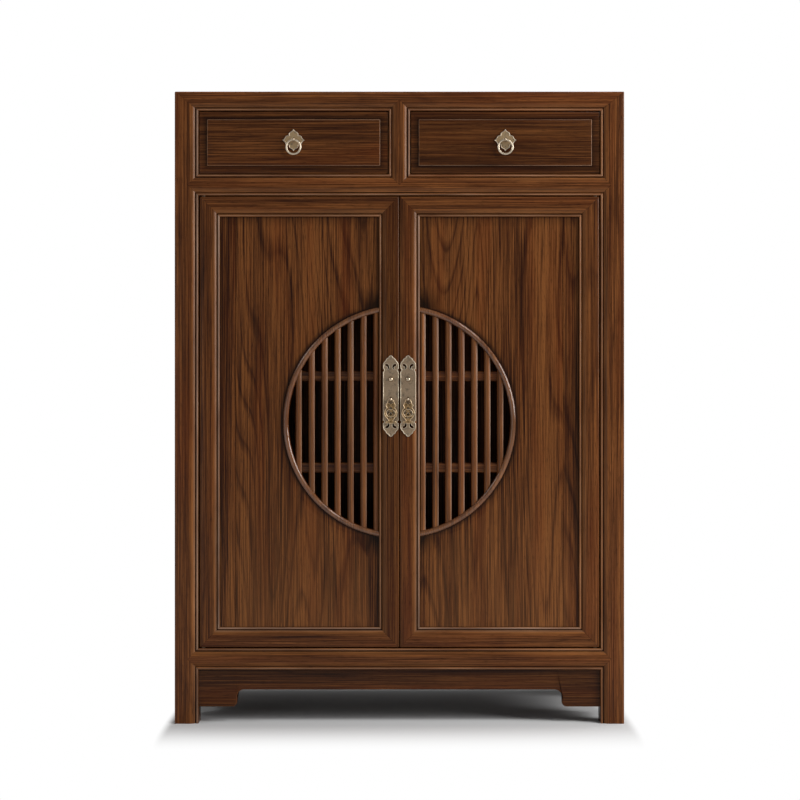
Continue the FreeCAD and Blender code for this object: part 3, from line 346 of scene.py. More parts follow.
def section(width, low, high, *places):
    """Face section of a member between two edges, with more points at places on its flat face."""
    (low_points, low_wear), (high_points, high_wear) = low, high
    far = high_points[::-1] * (-1.0, 1.0) + (width, 0.0)
    points = np.concatenate([low_points, [(place, 0.0) for place in places], far])
    wear = np.concatenate([low_wear, np.full(len(places), PLAIN), high_wear[::-1]])
    return points[:, 0], points[:, 1], wear


def crowned(start, width, crown, depth, rub, back_wear):
    """Closed section of a bar: its crowned face, then its two back corners, and the wear of each point."""
    stop = start + width
    face = arc((start, crown), (start + width / 2, 0.0), (stop, crown), CROWN_STEPS)
    wear = np.concatenate([PLAIN + rub * hump(CROWN_STEPS), [back_wear, back_wear, PLAIN]])
    return np.concatenate([face, [(stop, depth), (start, depth)], face[:1]]), wear


# Members of the frame

def moulded_bar(shape, start, stop, square, back, lap, notch=None):
    """Section carried along a straight line; each section point has its own two ends.

    A notch is a pointed housing in the middle: (distance of each section point from the notched edge,
    reach, depth). Below the lap depth the bar ends square.
    """
    across, depth, wear = shape
    shell = Shell()
    cuts = [start, stop]
    if notch:
        inward, reach, deep = notch
        half = np.clip(reach - inward, 0.0, None)
        cuts[1:1] = [-half, half]
    for first, last in zip(cuts[::2], cuts[1::2]):
        shell.grid(np.stack([place_points(first, across, depth), place_points(last, across, depth)]), wear)
    ends = [np.broadcast_to(end, across.shape) for end in square]
    lapped = lap < back
    for k in (0, -1):
        path = [(ends[0][k], back)]
        path += [(ends[0][k], lap), (start[k], lap)] if lapped else []
        path.append((start[k], depth[k]))
        if notch:
            path.append((-half[k], depth[k]))
            path += [(-half[k], deep), (half[k], deep), (half[k], depth[k])] if inward[k] < reach else []
        path.append((stop[k], depth[k]))
        path += [(stop[k], lap), (ends[1][k], lap)] if lapped else []
        path.append((ends[1][k], back))
        along, inner = np.array(path).T
        shell.face(place_points(along, across[k], inner))
    rear = [0, -1] if lapped else np.arange(len(across))
    shell.face(np.concatenate([place_points(ends[0][rear], across[rear], back),
                               place_points(ends[1][rear], across[rear], back)[::-1]]))
    if notch:
        add_notch(shell, inward <= reach + MERGE_DISTANCE, -half, half, across, depth, deep)
    for edge, end in zip((start, stop), square):
        rows = [place_points(edge, across, depth)]
        rows += [place_points(edge, across, lap), place_points(end, across, lap)] if lapped else \
            [place_points(end, across, back)]
        shell.grid(np.stack(rows), HOLLOW)
        if lapped:
            shell.face(np.concatenate([rows[-1], place_points(end, across[[-1, 0]], back)]))
    return shell


def add_notch(shell, near, low, high, across, depth, lap, turned=False):
    """Two walls and the floor of a pointed housing."""
    def points(along, inward):
        pair = (inward, across[near]) if turned else (across[near], inward)
        return place_points(along[near], *pair)
    for edge in (low, high):
        shell.grid(np.stack([points(edge, depth[near]), points(edge, lap)]), HOLLOW)
    shell.grid(np.stack([points(low, lap), points(high, lap)]), HOLLOW)


def moulded_post(shape, size, levels, reach, lap, mitre):
    """Square post moulded on its two outer faces, housed for the rails and mitred at the top.

    The half section runs from the outer corner to the inner edge and is carried upwards; the other
    half is the same with across and depth exchanged. Its top follows the rails' mitre planes.
    """
    across, depth, wear = shape
    inward = size - across
    base, rise = mitre
    top = base + rise * inward / size
    half = np.clip(reach - inward, 0.0, None)
    housings = [(level - half, level + half) for level in levels]
    cuts = [np.zeros_like(across), *(cut for housing in housings for cut in housing), top]
    shell = Shell()
    for turned in (False, True):
        def points(along, a, d):
            return place_points(along, d, a) if turned else place_points(along, a, d)
        for first, last in zip(cuts[::2], cuts[1::2]):
            shell.grid(np.stack([points(first, across, depth), points(last, across, depth)]), wear)
        path = [(0.0, size), (0.0, depth[-1])]
        for low, high in housings:
            add_notch(shell, inward <= reach + MERGE_DISTANCE, low, high, across, depth, lap, turned)
            path += [(low[-1], depth[-1]), (low[-1], lap), (high[-1], lap), (high[-1], depth[-1])]
        path += [(base, depth[-1]), (base, size)]
        along, inner = np.array(path).T
        shell.face(points(along, size, inner))
        for edge, height in ((cuts[0], 0.0), (top, base)):
            shell.face(np.concatenate([points(edge, across, depth), points([height], [size], [size])]))
    return shell


class CABINET_OT_frame_members(bpy.types.Operator):
    """Posts, rails and the upright between the drawers, with beads and pointed laps."""

    bl_idname = "cabinet.frame_members"
    bl_label = "Frame members"

    def execute(self, context):
        mould = settings("moulding")
        elm = stained_elm("Elm frame members, planed, walnut-stained and waxed")
        post_low, post_high = box_of("left_front_post")
        half_width, back, _ = box_of("right_rear_post")[1]
        size, front = post_high[0] - post_low[0], post_low[1]
        half_depth, middle_depth = (back - front) / 2, (back + front) / 2
        spans = {name: [corner[2] for corner in box_of(f"{name}_front_rail")]
                 for name in ("bottom", "middle", "top")}
        (bottom_low, _), (rail_low, rail_high), (top_low, height) = spans.values()
        rail_height, top_height = rail_high - rail_low, height - top_low
        housing = rail_height / 2 + mould.seam
        levels = [sum(spans[name]) / 2 for name in ("bottom", "middle")]
        plain_edge, level_edge = round_edge(mould.corner_round), bead_edge(LEVEL_BEAD)
        # a side's rails: the middle of their face, their direction, the one inward, half their outer length
        sides = {
            "front": ((0.0, front), X_AXIS, Y_AXIS, half_width),
            "rear": ((0.0, back), X_AXIS, -Y_AXIS, half_width),
            "left": ((-half_width, middle_depth), Y_AXIS, X_AXIS, half_depth),
            "right": ((half_width, middle_depth), Y_AXIS, -X_AXIS, half_depth),
        }

        def piece(node, *shells):
            """A moulded piece of the carcass."""
            stand_in(node, "moulded", shells, elm, "carcass")

        def rail(half, housed=False, upper_rub_and_light=LEVEL_BEAD):
            """Rail with pointed ends, housed or not in the middle of its upper edge."""
            places = [rail_height - housing] * housed + [rail_height / 2]
            shape = section(rail_height, level_edge, bead_edge(upper_rub_and_light), *places)
            square = half - mould.seam
            stop = square + np.minimum(shape[0], rail_height - shape[0])
            notch = (rail_height - shape[0], housing, mould.lap_depth) if housed else None
            return moulded_bar(shape, -stop, stop, (-square, square), size, mould.lap_depth, notch)

        def side_rail(side, low, housed=False):
            """Rail between two posts, with its lower edge at a height."""
            start, along, inward, half = sides[side]
            return rail(half - size, housed).placed((*start, low), along, Z_AXIS, inward)

        def top_rail(side, housed=False):
            """Rail of the mitred top, housed or not in the middle of its lower edge."""
            start, along, inward, half = sides[side]
            shape = section(top_height, level_edge, plain_edge, housing)
            cut_back = np.maximum(size * (1.0 - shape[0] / top_height), shape[1])
            stop = half - mould.seam - cut_back
            square = np.full_like(stop, half - mould.seam - size)
            notch = (shape[0], housing, mould.lap_depth) if housed else None
            bar = moulded_bar(shape, -stop, stop, (-square, square), size, size, notch)
            return bar.placed((*start, top_low), along, Z_AXIS, inward)

        for place, inward, face in (("front", 1, front), ("rear", -1, back)):
            for side, outward in SIDES.items():
                # painted highlight: a post's bead that faces the light from the right is paler
                rub = LIT_BEAD if outward < 0 else DIM_BEAD
                shape = section(size, plain_edge, bead_edge(rub), size - housing)
                # the half section starts at the middle of the corner round
                half_shape = [part[ROUND_STEPS // 2:] for part in shape]
                post = moulded_post(half_shape, size, levels, housing, mould.lap_depth,
                                    (top_low - mould.seam, top_height))
                post.placed((outward * half_width, face, 0.0), Z_AXIS, -outward * X_AXIS, inward * Y_AXIS)
                piece(f"{side}_{place}_post", post)
        lows = (rail_low, bottom_low)
        piece("middle_front_rail", side_rail("front", rail_low, True))
        piece("bottom_front_rail", side_rail("front", bottom_low))
        piece("side_rails", *[side_rail(side, low) for side in SIDES for low in lows])
        piece("top_front_rail", top_rail("front", True))
        piece("top_side_rails", *[top_rail(side) for side in SIDES])
        piece("rear_rails", *[side_rail("rear", low) for low in lows], top_rail("rear"))
        # painted highlight: the upright's right bead is as pale as a lit one
        upright = rail((top_low - rail_high) / 2, upper_rub_and_light=LIT_BEAD)
        upright.placed((-rail_height / 2, front, (top_low + rail_high) / 2), Z_AXIS, X_AXIS, Y_AXIS)
        piece("drawer_muntin", upright)
        return {"FINISHED"}


# Materials

def add_node(tree, kind, *values, out=0, stops=(), **named):
    """Add a shader node, its operation named after a dot, and give one of its outputs.

    Values fill the inputs in order. A name is an input's, with underscores for spaces, or a setting's.
    Another node's output is linked, and a colour is made opaque. Stops are the places and the colours or
    shades of a ramp.
    """
    kind, _, operation = kind.partition(".")
    node = tree.nodes.new("ShaderNode" + kind)
    if operation:
        node.operation = operation
    inputs = dict(enumerate(values))
    for name, value in named.items():
        label = name.replace("_", " ")
        if label in node.inputs:
            inputs[label] = value
        else:
            setattr(node, name, value)
    for key, value in inputs.items():
        socket = node.inputs[key]
        if isinstance(value, bpy.types.NodeSocket):
            tree.links.new(value, socket)
        else:
            socket.default_value = (*value, 1.0) if socket.type == "RGBA" else value
    for index, (position, value) in enumerate(stops):
        elements = node.color_ramp.elements
        element = elements[index] if index < len(elements) else elements.new(1.0)
        element.position = position
        element.color = (*value, 1.0) if hasattr(value, "__len__") else (value, value, value, 1.0)
    return node.outputs[out] if node.outputs else node


def node_maker(owner):
    """Empty the node tree of a material or world, and give the function that adds nodes to it."""
    owner.use_nodes = True
    owner.node_tree.nodes.clear()
    return partial(add_node, owner.node_tree)


def from_middle(node, middle, half):
    """Place of a point, folded about the cabinet's middle planes, from a middle in units of half a size."""
    folded = node("VectorMath.ABSOLUTE", node("TexCoord", out="Object"))
    return node("VectorMath.DIVIDE", node("VectorMath.SUBTRACT", folded, middle), half)


# Turns that bring a CAD board's grain onto the first coordinate.
GRAIN_TURNS = {
    "across": (0.0, 0.0, 0.0),
    "upright": (0.0, RIGHT_ANGLE, 0.0),
    "deep": (0.0, 0.0, -RIGHT_ANGLE),
}
# Patterns of the wood: millimetres along the grain, millimetres across it, levels of detail, bend. Hair
# lines lie among the fibre streaks, the tone is broad, and rubbed edges are pale in spots.
PATTERNS = {
    "rings": (1500.0, 130.0, 1.0, 0.2),
    "tone": (700.0, 60.0, 2.0, 0.0),
    "warmth": (500.0, 30.0, 2.0, 0.0),
    "fibre": (220.0, 2.2, 3.0, 0.0),
    "spots": (120.0, 20.0, 2.0, 0.0),
    "hair": (80.0, 0.9, 2.0, 0.0),
    # the pores of elm are 0.3 mm wide; drawn wider so that they show
    "pores": (16.0, 0.9, 1.0, 0.0),
    "plain fibre": (200.0, 4.0, 3.0, 0.0),
    "plain tone": (500.0, 50.0, 1.0, 0.0),
}
NOISE_ROUGHNESS = 0.55
RING_COUNT = 26.0
HAIR_SHARE = 0.3
TONE_SHARE = 0.18
PORE_STAIN = 0.55
# How dark the painted shade under a door plate is.
PLATE_SHADE_STRENGTH = 0.96
PLAIN_TONE_SHARE = 0.4
WOOD_IOR = 1.5
# Roughness of waxed wood from its fibres to its pores, and how far that of plain wood varies.
WAXED_GLOSS = (0.18, 0.30)
PLAIN_GLOSS_SPREAD = 0.08


def cad_grain(node, turn):
    """Grain of a board that keeps its CAD shape."""
    return node("Mapping", node("TexCoord", out="Object"), Rotation=GRAIN_TURNS[turn])


def pattern_noise(node, grain, pattern):
    """Noise whose patches are as long along the grain and as wide across it as a pattern's."""
    run, width, detail, bend = PATTERNS[pattern]
    scaled = node("Mapping", grain, Scale=(1.0 / (run * MM), 1.0 / (width * MM), 1.0 / (width * MM)))
    return node("TexNoise", scaled, Scale=1.0, Detail=detail, Roughness=NOISE_ROUGHNESS, Distortion=bend)


def stained_elm(name, grain_turn=None, stain=1.0, figure_share=0.2, spread=0.115, shine=0.09, smooth=0.0,
                bed=None):
    """Elm stained walnut brown: flat-sawn figure, fine fibre, open pores, stain in the hollows.

    New pieces carry their own grain places, and marks that are partly worn and partly painted shade and
    highlights; a CAD board is read along one direction.
    A stain below 1 is a darker coat; the figure's share is how much of the rings shows; smooth is taken
    from the roughness. Given a plate's middle and half size, the wood under it is blackened as painted
    shade.
    """
    wood = settings("wood")
    material = bpy.data.materials.new(name)
    node = node_maker(material)
    if grain_turn:
        grain = cad_grain(node, grain_turn)
    else:
        grain = node("Attribute", attribute_name="grain", out="Vector")
    noise = partial(pattern_noise, node, grain)
    # growth rings cut flat are the contour lines of one slow noise
    rings = node("Math.FRACT", node("Math.MULTIPLY", noise("rings"), RING_COUNT))
    figure = node("ValToRGB", rings, stops=[(0.0, 0.32), (0.1, 0.52), (0.75, 0.62), (1.0, 0.32)])
    fibre = noise("fibre")
    pores = node("ValToRGB", noise("pores"), stops=[(0.58, 0.0), (0.72, 1.0)])
    streaks = node("MixRGB", HAIR_SHARE, node("MixRGB", figure_share, fibre, figure), noise("hair"))
    toned = node("MixRGB", TONE_SHARE, streaks, noise("tone"))
    dark, middle, light, red = ([part * stain for part in coat]
                                for coat in (wood.dark, wood.middle, wood.light, wood.red))
    body = node("ValToRGB", toned, stops=[(0.5 - spread, dark), (0.5, middle), (0.5 + spread, light)])
    warmth = node("ValToRGB", noise("warmth"), stops=[(0.48, 0.0), (0.8, 0.45)])
    warm = node("MixRGB", warmth, body, red)
    surface = node("MixRGB", node("Math.MULTIPLY", pores, PORE_STAIN), warm, wood.hollow_and_shade)
    if not grain_turn:
        # stain gathers in the hollows, and painted shade darkens the same way
        wear = node("Attribute", attribute_name="wear", out="Fac")
        gathered = node("ValToRGB", wear, stops=[(HOLLOW, 0.92), (PLAIN, 0.0)])
        stained = node("MixRGB", gathered, surface, wood.hollow_and_shade)
        # in spots, shoulders are polished golden and edges rubbed pale; this also paints light and
        # highlights
        pale = node("ValToRGB", wear, stops=[(PLAIN, 0.0), (0.7, 0.4), (1.0, 0.62)])
        spots = node("MapRange", noise("spots"), From_Min=0.3, From_Max=0.7, To_Min=0.25)
        worn_and_lit = node("ValToRGB", wear, stops=[(0.68, wood.polished), (0.84, wood.rubbed)])
        surface = node("MixRGB", node("Math.MULTIPLY", pale, spots), stained, worn_and_lit)
    # painted shade: wood under a door plate, seen through its piercings, is blackened
    if bed:
        far = node("VectorMath.ABSOLUTE", from_middle(node, *bed))
        x, y, z = node("SeparateXYZ", far).node.outputs
        reach = node("Math.MAXIMUM", node("Math.MAXIMUM", x, z), y)
        covered = node("ValToRGB", reach, stops=[(0.9, PLATE_SHADE_STRENGTH), (1.0, 0.0)])
        surface = node("MixRGB", covered, surface, wood.hollow_and_shade)
    # waxed satin: fibres a little smoother than the pores
    low_gloss, high_gloss = WAXED_GLOSS
    gloss = node("MapRange", fibre, To_Min=low_gloss - smooth, To_Max=high_gloss - smooth)
    bump = node("Bump", Strength=0.25, Distance=0.3 * MM, Height=node("Math.SUBTRACT", fibre, pores))
    node("OutputMaterial", node("BsdfPrincipled", Base_Color=surface, Roughness=gloss, IOR=WOOD_IOR,
                                Specular_IOR_Level=shine, Normal=bump))
    return material


def plain_wood(name, grain_turn, base, streak_share, roughness):
    """Unfigured secondary wood: one colour with fine fibre streaks and a slow tone."""
    material = bpy.data.materials.new(name)
    node = node_maker(material)
    noise = partial(pattern_noise, node, cad_grain(node, grain_turn))
    fibre = noise("plain fibre")
    dark, light = ([part * share for part in base] for share in (1.0 - streak_share, 1.0 + streak_share))
    paint = node("ValToRGB", node("MixRGB", PLAIN_TONE_SHARE, fibre, noise("plain tone")),
                 stops=[(0.35, dark), (0.65, light)])
    gloss = node("MapRange", fibre, To_Min=roughness - PLAIN_GLOSS_SPREAD,
                 To_Max=roughness + PLAIN_GLOSS_SPREAD)
    bump = node("Bump", Strength=0.2, Distance=0.2 * MM, Height=fibre)
    node("OutputMaterial", node("BsdfPrincipled", Base_Color=paint, Roughness=gloss, IOR=WOOD_IOR,
                                Specular_IOR_Level=0.15, Normal=bump))
    return material


PATCH = 6.0 * MM
GRIT = 1.2 * MM
TOOL_LINE = 0.8 * MM
TOOL_SHADE = 0.7
# How far the rubbed share of brass varies with its grit, and its roughness from tarnish to rubbed patches.
RUB_SPREAD = 0.1
BRASS_GLOSS = (0.5, 0.32)


def antique_brass(name, face, rubbed_share, polish=0.0, shaded=None, scroll=None):
    """Cast brass dulled by age: brown tarnish in patches, satin where hands rub it.

    A shaded place, given as its middle and half size, is painted shadow in the tarnish colour, as behind a
    drop. Scrollwork, given as its middle and the size of its curls, has dark hollows mirrored about the
    middle.
    """
    metal = settings("metal")
    material = bpy.data.materials.new(name)
    node = node_maker(material)
    place = node("TexCoord", out="Object")
    patch = node("TexNoise", place, Scale=1.0 / PATCH, Detail=4.0, Roughness=0.6)
    grit = node("TexNoise", place, Scale=1.0 / GRIT, Detail=2.0)
    tarnished = node("ValToRGB", patch,
                     stops=[(0.25, metal.tarnish), (0.48, face), (0.7, face), (1.0, metal.rubbed)])
    share = node("MapRange", grit, To_Min=rubbed_share - RUB_SPREAD, To_Max=rubbed_share + RUB_SPREAD)
    paint = node("MixRGB", share, tarnished, metal.rubbed)
    # painted shadow behind a drop, in the tarnish colour
    if shaded:
        reach = node("VectorMath.LENGTH", from_middle(node, *shaded), out="Value")
        dark = node("ValToRGB", reach, stops=[(0.35, 0.95), (1.0, 0.0)])
        paint = node("MixRGB", dark, paint, metal.tarnish)
    if scroll:
        middle, curl = scroll
        curls = node("VectorMath.ABSOLUTE", from_middle(node, middle, (curl, curl, curl)))
        cell = node("TexVoronoi", curls, feature="DISTANCE_TO_EDGE", Scale=1.0)
        dark = node("ValToRGB", cell, stops=[(0.1, 0.0), (0.25, 0.95)])
        paint = node("MixRGB", dark, paint, metal.tarnish)
    dull, bright = BRASS_GLOSS
    gloss = node("MapRange", patch, To_Min=dull - polish, To_Max=bright - polish)
    bump = node("Bump", Strength=0.25, Distance=0.2 * MM, Height=grit)
    node("OutputMaterial", node("BsdfPrincipled", Base_Color=paint, Metallic=1.0, Roughness=gloss,
                                Normal=bump))
    return material


def turned_steel(name, tint):
    """Plain turned steel with faint tool lines."""
    material = bpy.data.materials.new(name)
    node = node_maker(material)
    lines = node("TexNoise", node("TexCoord", out="Object"), Scale=1.0 / TOOL_LINE)
    paint = node("ValToRGB", lines, stops=[(0.3, [part * TOOL_SHADE for part in tint]), (0.7, tint)])
    gloss = node("MapRange", lines, To_Min=0.3, To_Max=0.45)
    node("OutputMaterial", node("BsdfPrincipled", Base_Color=paint, Metallic=1.0, Roughness=gloss))
    return material


# Boards

class CABINET_OT_boards(bpy.types.Operator):
    """Panels, shelves and drawer bearers that keep their shape and take their wood."""

    bl_idname = "cabinet.boards"
    bl_label = "Boards"

    def execute(self, context):
        for node, turn in (("side_panels", "upright"), ("back_panels", "upright"), ("top_panel", "across")):
            dress_node(node, stained_elm(f"Elm {node.replace('_', ' ')}, planed, walnut-stained", turn))
        inside = {
            "across": ("shelves", "floor_board", "dust_board"),
            "deep": ("shelf_cleats", "drawer_partition", "drawer_runners"),
        }
        for turn, names in inside.items():
            # painted shade: the inside boards are near black
            inside_shade = plain_wood(f"Poplar inside boards, dark lacquered, grain {turn}", turn,
                                 settings("wood").inside, 0.35, 0.5)
            for node in names:
                dress_node(node, inside_shade)
        return {"FINISHED"}


def outline_board(outline, top, thickness, rounding):
    """Board under a rail: its lower outline, rounded to the front, ruled up to a straight top.

    Rows go round the board: top back, bottom back, the quarter round, bottom front, top front.
    """
    step = np.gradient(outline, axis=0)
    step /= np.linalg.norm(step, axis=1, keepdims=True)
    upward = np.stack([-step[:, 1], step[:, 0]], axis=-1)
    run = np.concatenate([[0.0], np.cumsum(np.linalg.norm(np.diff(outline, axis=0), axis=1))])
    above = outline[0, 0] + (outline[-1, 0] - outline[0, 0]) * run / run[-1]
    rows = [place_points(above, top, thickness), place_points(*outline.T, thickness)]
    wear = [PLAIN, PLAIN]
    for angle in np.linspace(0.0, RIGHT_ANGLE, ROUND_STEPS):
        edge = outline + upward * rounding * (1.0 - math.cos(angle))
        rows.append(place_points(*edge.T, rounding * (1.0 - math.sin(angle))))
        wear.append(PLAIN + ROUND_RUB * math.sin(2 * angle))
    rows += [place_points(above, top, 0.0), rows[0]]
    # painted shade along the apron's top, under the rail
    wear += [SHADED, SHADED]
    return Shell().tube(np.stack(rows), np.array(wear)[:, None], around=0)


BRACKET_STEPS = 9


class CABINET_OT_aprons(bpy.types.Operator):
    """Aprons with bracket ends under the bottom rails."""

    bl_idname = "cabinet.aprons"
    bl_label = "Aprons"

    bracket_width: length("Bracket width", "Width of the bracket at each end", 68.0)
    bracket_round: length("Bracket round", "Radius of the bracket's lower corner", 8.0)
    bracket_cove: length("Bracket cove", "Radius of the hollow above the bracket", 13.0)
    apron_height: length("Apron height", "Height of the apron between its brackets", 36.6)
    rounding: length("Rounding", "Radius along the lower edge", 1.6)

    def execute(self, context):
        elm = stained_elm("Elm aprons, planed, walnut-stained and waxed", stain=0.75)
        low, high = box_of("front_apron")
        _, thickness, height = high - low
        rise = height - self.apron_height
        corner, cove = self.bracket_round, self.bracket_cove
        bend = 1.0 - math.sqrt(0.5)

        def apron(half):
            inner = half - self.bracket_width
            right = np.concatenate([
                [(half, 0.0), (inner + corner, 0.0)],
                arc((inner + corner, 0.0), (inner + corner * bend, corner * bend), (inner, corner),
                    BRACKET_STEPS)[1:],
                arc((inner, rise - cove), (inner - cove * bend, rise - cove * bend), (inner - cove, rise),
                    BRACKET_STEPS),
            ])
            outline = np.concatenate([right * MIRROR, right[::-1]])
            return outline_board(outline, height, thickness, self.rounding)

        front = apron(high[0]).placed((0.0, low[1], low[2]), X_AXIS, Z_AXIS, Y_AXIS)
        stand_in("front_apron", "shaped", [front], elm, "carcass")
        side_low, side_high = box_of("side_aprons")
        middle, half = (side_low[1] + side_high[1]) / 2, (side_high[1] - side_low[1]) / 2
        pair = [apron(half).placed((face, middle, low[2]), Y_AXIS, Z_AXIS, inward)
                for face, inward in ((side_low[0], X_AXIS), (side_high[0], -X_AXIS))]
        stand_in("side_aprons", "shaped", pair, elm, "carcass")
        return {"FINISHED"}


def framed_board(half_run, half_height, insets, depths, wear):
    """Rectangles of growing inset at given depths, joined in turn and closed at both ends."""
    corners = np.array([(-1.0, -1.0), (1.0, -1.0), (1.0, 1.0), (-1.0, 1.0), (-1.0, -1.0)])
    along = corners[:, 0] * (half_run - insets[:, None])
    across = corners[:, 1] * (half_height - insets[:, None])
    return Shell().tube(place_points(along, across, depths[:, None]), wear[:, None])


# Wear and painted light of a drawer front: its margin darkens towards the field, and the round edge of its
# field from the margin up is dark at its foot and pale near its top, painted shade and a painted highlight
# with edge wear.
MARGIN_DARKENING = 0.12
FIELD_WEAR_AND_LIGHT = (0.2, 0.5, 0.86, 0.78, PLAIN)
FRONT_RUB = 0.1
# The flat of the field closes with a face this many margins in.
FIELD_INSET = 2.5


class CABINET_OT_drawers(bpy.types.Operator):
    """Drawer fronts with a raised field, and the drawer boxes behind them."""

    bl_idname = "cabinet.drawers"
    bl_label = "Drawers"

    margin: length("Margin", "Flat margin round the raised field", 14.0)
    field_rise: length("Field rise", "Height of the field above the margin", 2.0)
    field_round: length("Field round", "Rounding of the field's edge", 1.5)
    edge_round: length("Edge round", "Rounding of the front's own edge", 1.2)

    def execute(self, context):
        plain = settings("wood").plain
        boxes = plain_wood("Paulownia drawer boxes, planed and waxed", "deep", plain, 0.18, 0.55)
        backs = plain_wood("Paulownia drawer backs, planed and waxed", "across", plain, 0.18, 0.55)
        turn = np.linspace(0.0, RIGHT_ANGLE, ROUND_STEPS)
        aside, inward = 1.0 - np.cos(turn), 1.0 - np.sin(turn)
        for side, stain in (("left", 0.72), ("right", 0.62)):
            body = f"{side}_drawer"
            elm = stained_elm(f"Elm {side} drawer front, planed, walnut-stained and waxed", stain=stain)
            low, high = box_of(f"{body}_front")
            insets = np.concatenate([[0.0], self.edge_round * aside, [self.margin],
                                     self.margin + self.field_round * aside, [FIELD_INSET * self.margin]])
            depths = np.concatenate([[high[1] - low[1]], self.field_rise + self.edge_round * inward,
                                     [self.field_rise], self.field_round * inward, [0.0]])
            wear = np.concatenate([[PLAIN], PLAIN + FRONT_RUB * np.sin(2 * turn), [MARGIN_DARKENING],
                                   FIELD_WEAR_AND_LIGHT, [PLAIN]])
            half, middle = (high - low) / 2, (low + high) / 2
            shell = framed_board(half[0], half[2], insets, depths, wear)
            shell.placed((middle[0], low[1], middle[2]), X_AXIS, Z_AXIS, Y_AXIS)
            stand_in(f"{body}_front", "fielded", [shell], elm, body)
            for part, material in (("sides", boxes), ("back", backs), ("bottom", boxes)):
                dress_node(f"{body}_{part}", material)
        return {"FINISHED"}


# Doors

def slab(along, across, thickness, wear):
    """Board between two flat faces over a grid of places, closed round its rim."""
    shell = Shell()
    near, far = (place_points(along, across, depth) for depth in (0.0, thickness))
    shell.grid(near, wear)
    shell.grid(far)
    for edge in (np.s_[0], np.s_[-1], np.s_[:, 0], np.s_[:, -1]):
        shell.grid(np.stack([near[edge], far[edge]]), HOLLOW)
    return shell


# Rows of a door panel below or above the window and beside it, columns of each of its boards, and steps
# along the moon ring.
END_ROWS = 9
WINDOW_ROWS = 65
BOARD_COLUMNS = 15
ARC_STEPS = 97
# Painted light on a door panel: it is paler towards its foot, and painted shade darkens it along its
# borders, as far as the reach, and in a line along the moon ring.
FOOT_PALING = 0.09
BORDER_SHADE = 0.3
BORDER_REACH = 22.0 * MM
RING_LINE = 0.5
# Wear of the moon ring's crown, painted shade on its outer edge and its back; wear of the bars' crowns,
# their backs darkened, and painted shade on the crossbars.
RING_RUB = 0.13
RING_EDGE = 0.15
BAR_RUB = 0.1
BAR_BACK = 0.3
CROSSBAR_SHADE = 0.4
# Where the panel is cut and the bars end, as shares of the ring's width from its outer edge.
PANEL_CUT = 1.0 / 3.0
BAR_END = 0.7
# Painted shade on the wood under a door plate, as shares of the plate.
PLATE_SHADE_SHARES = (0.9, 2.0, 0.8)


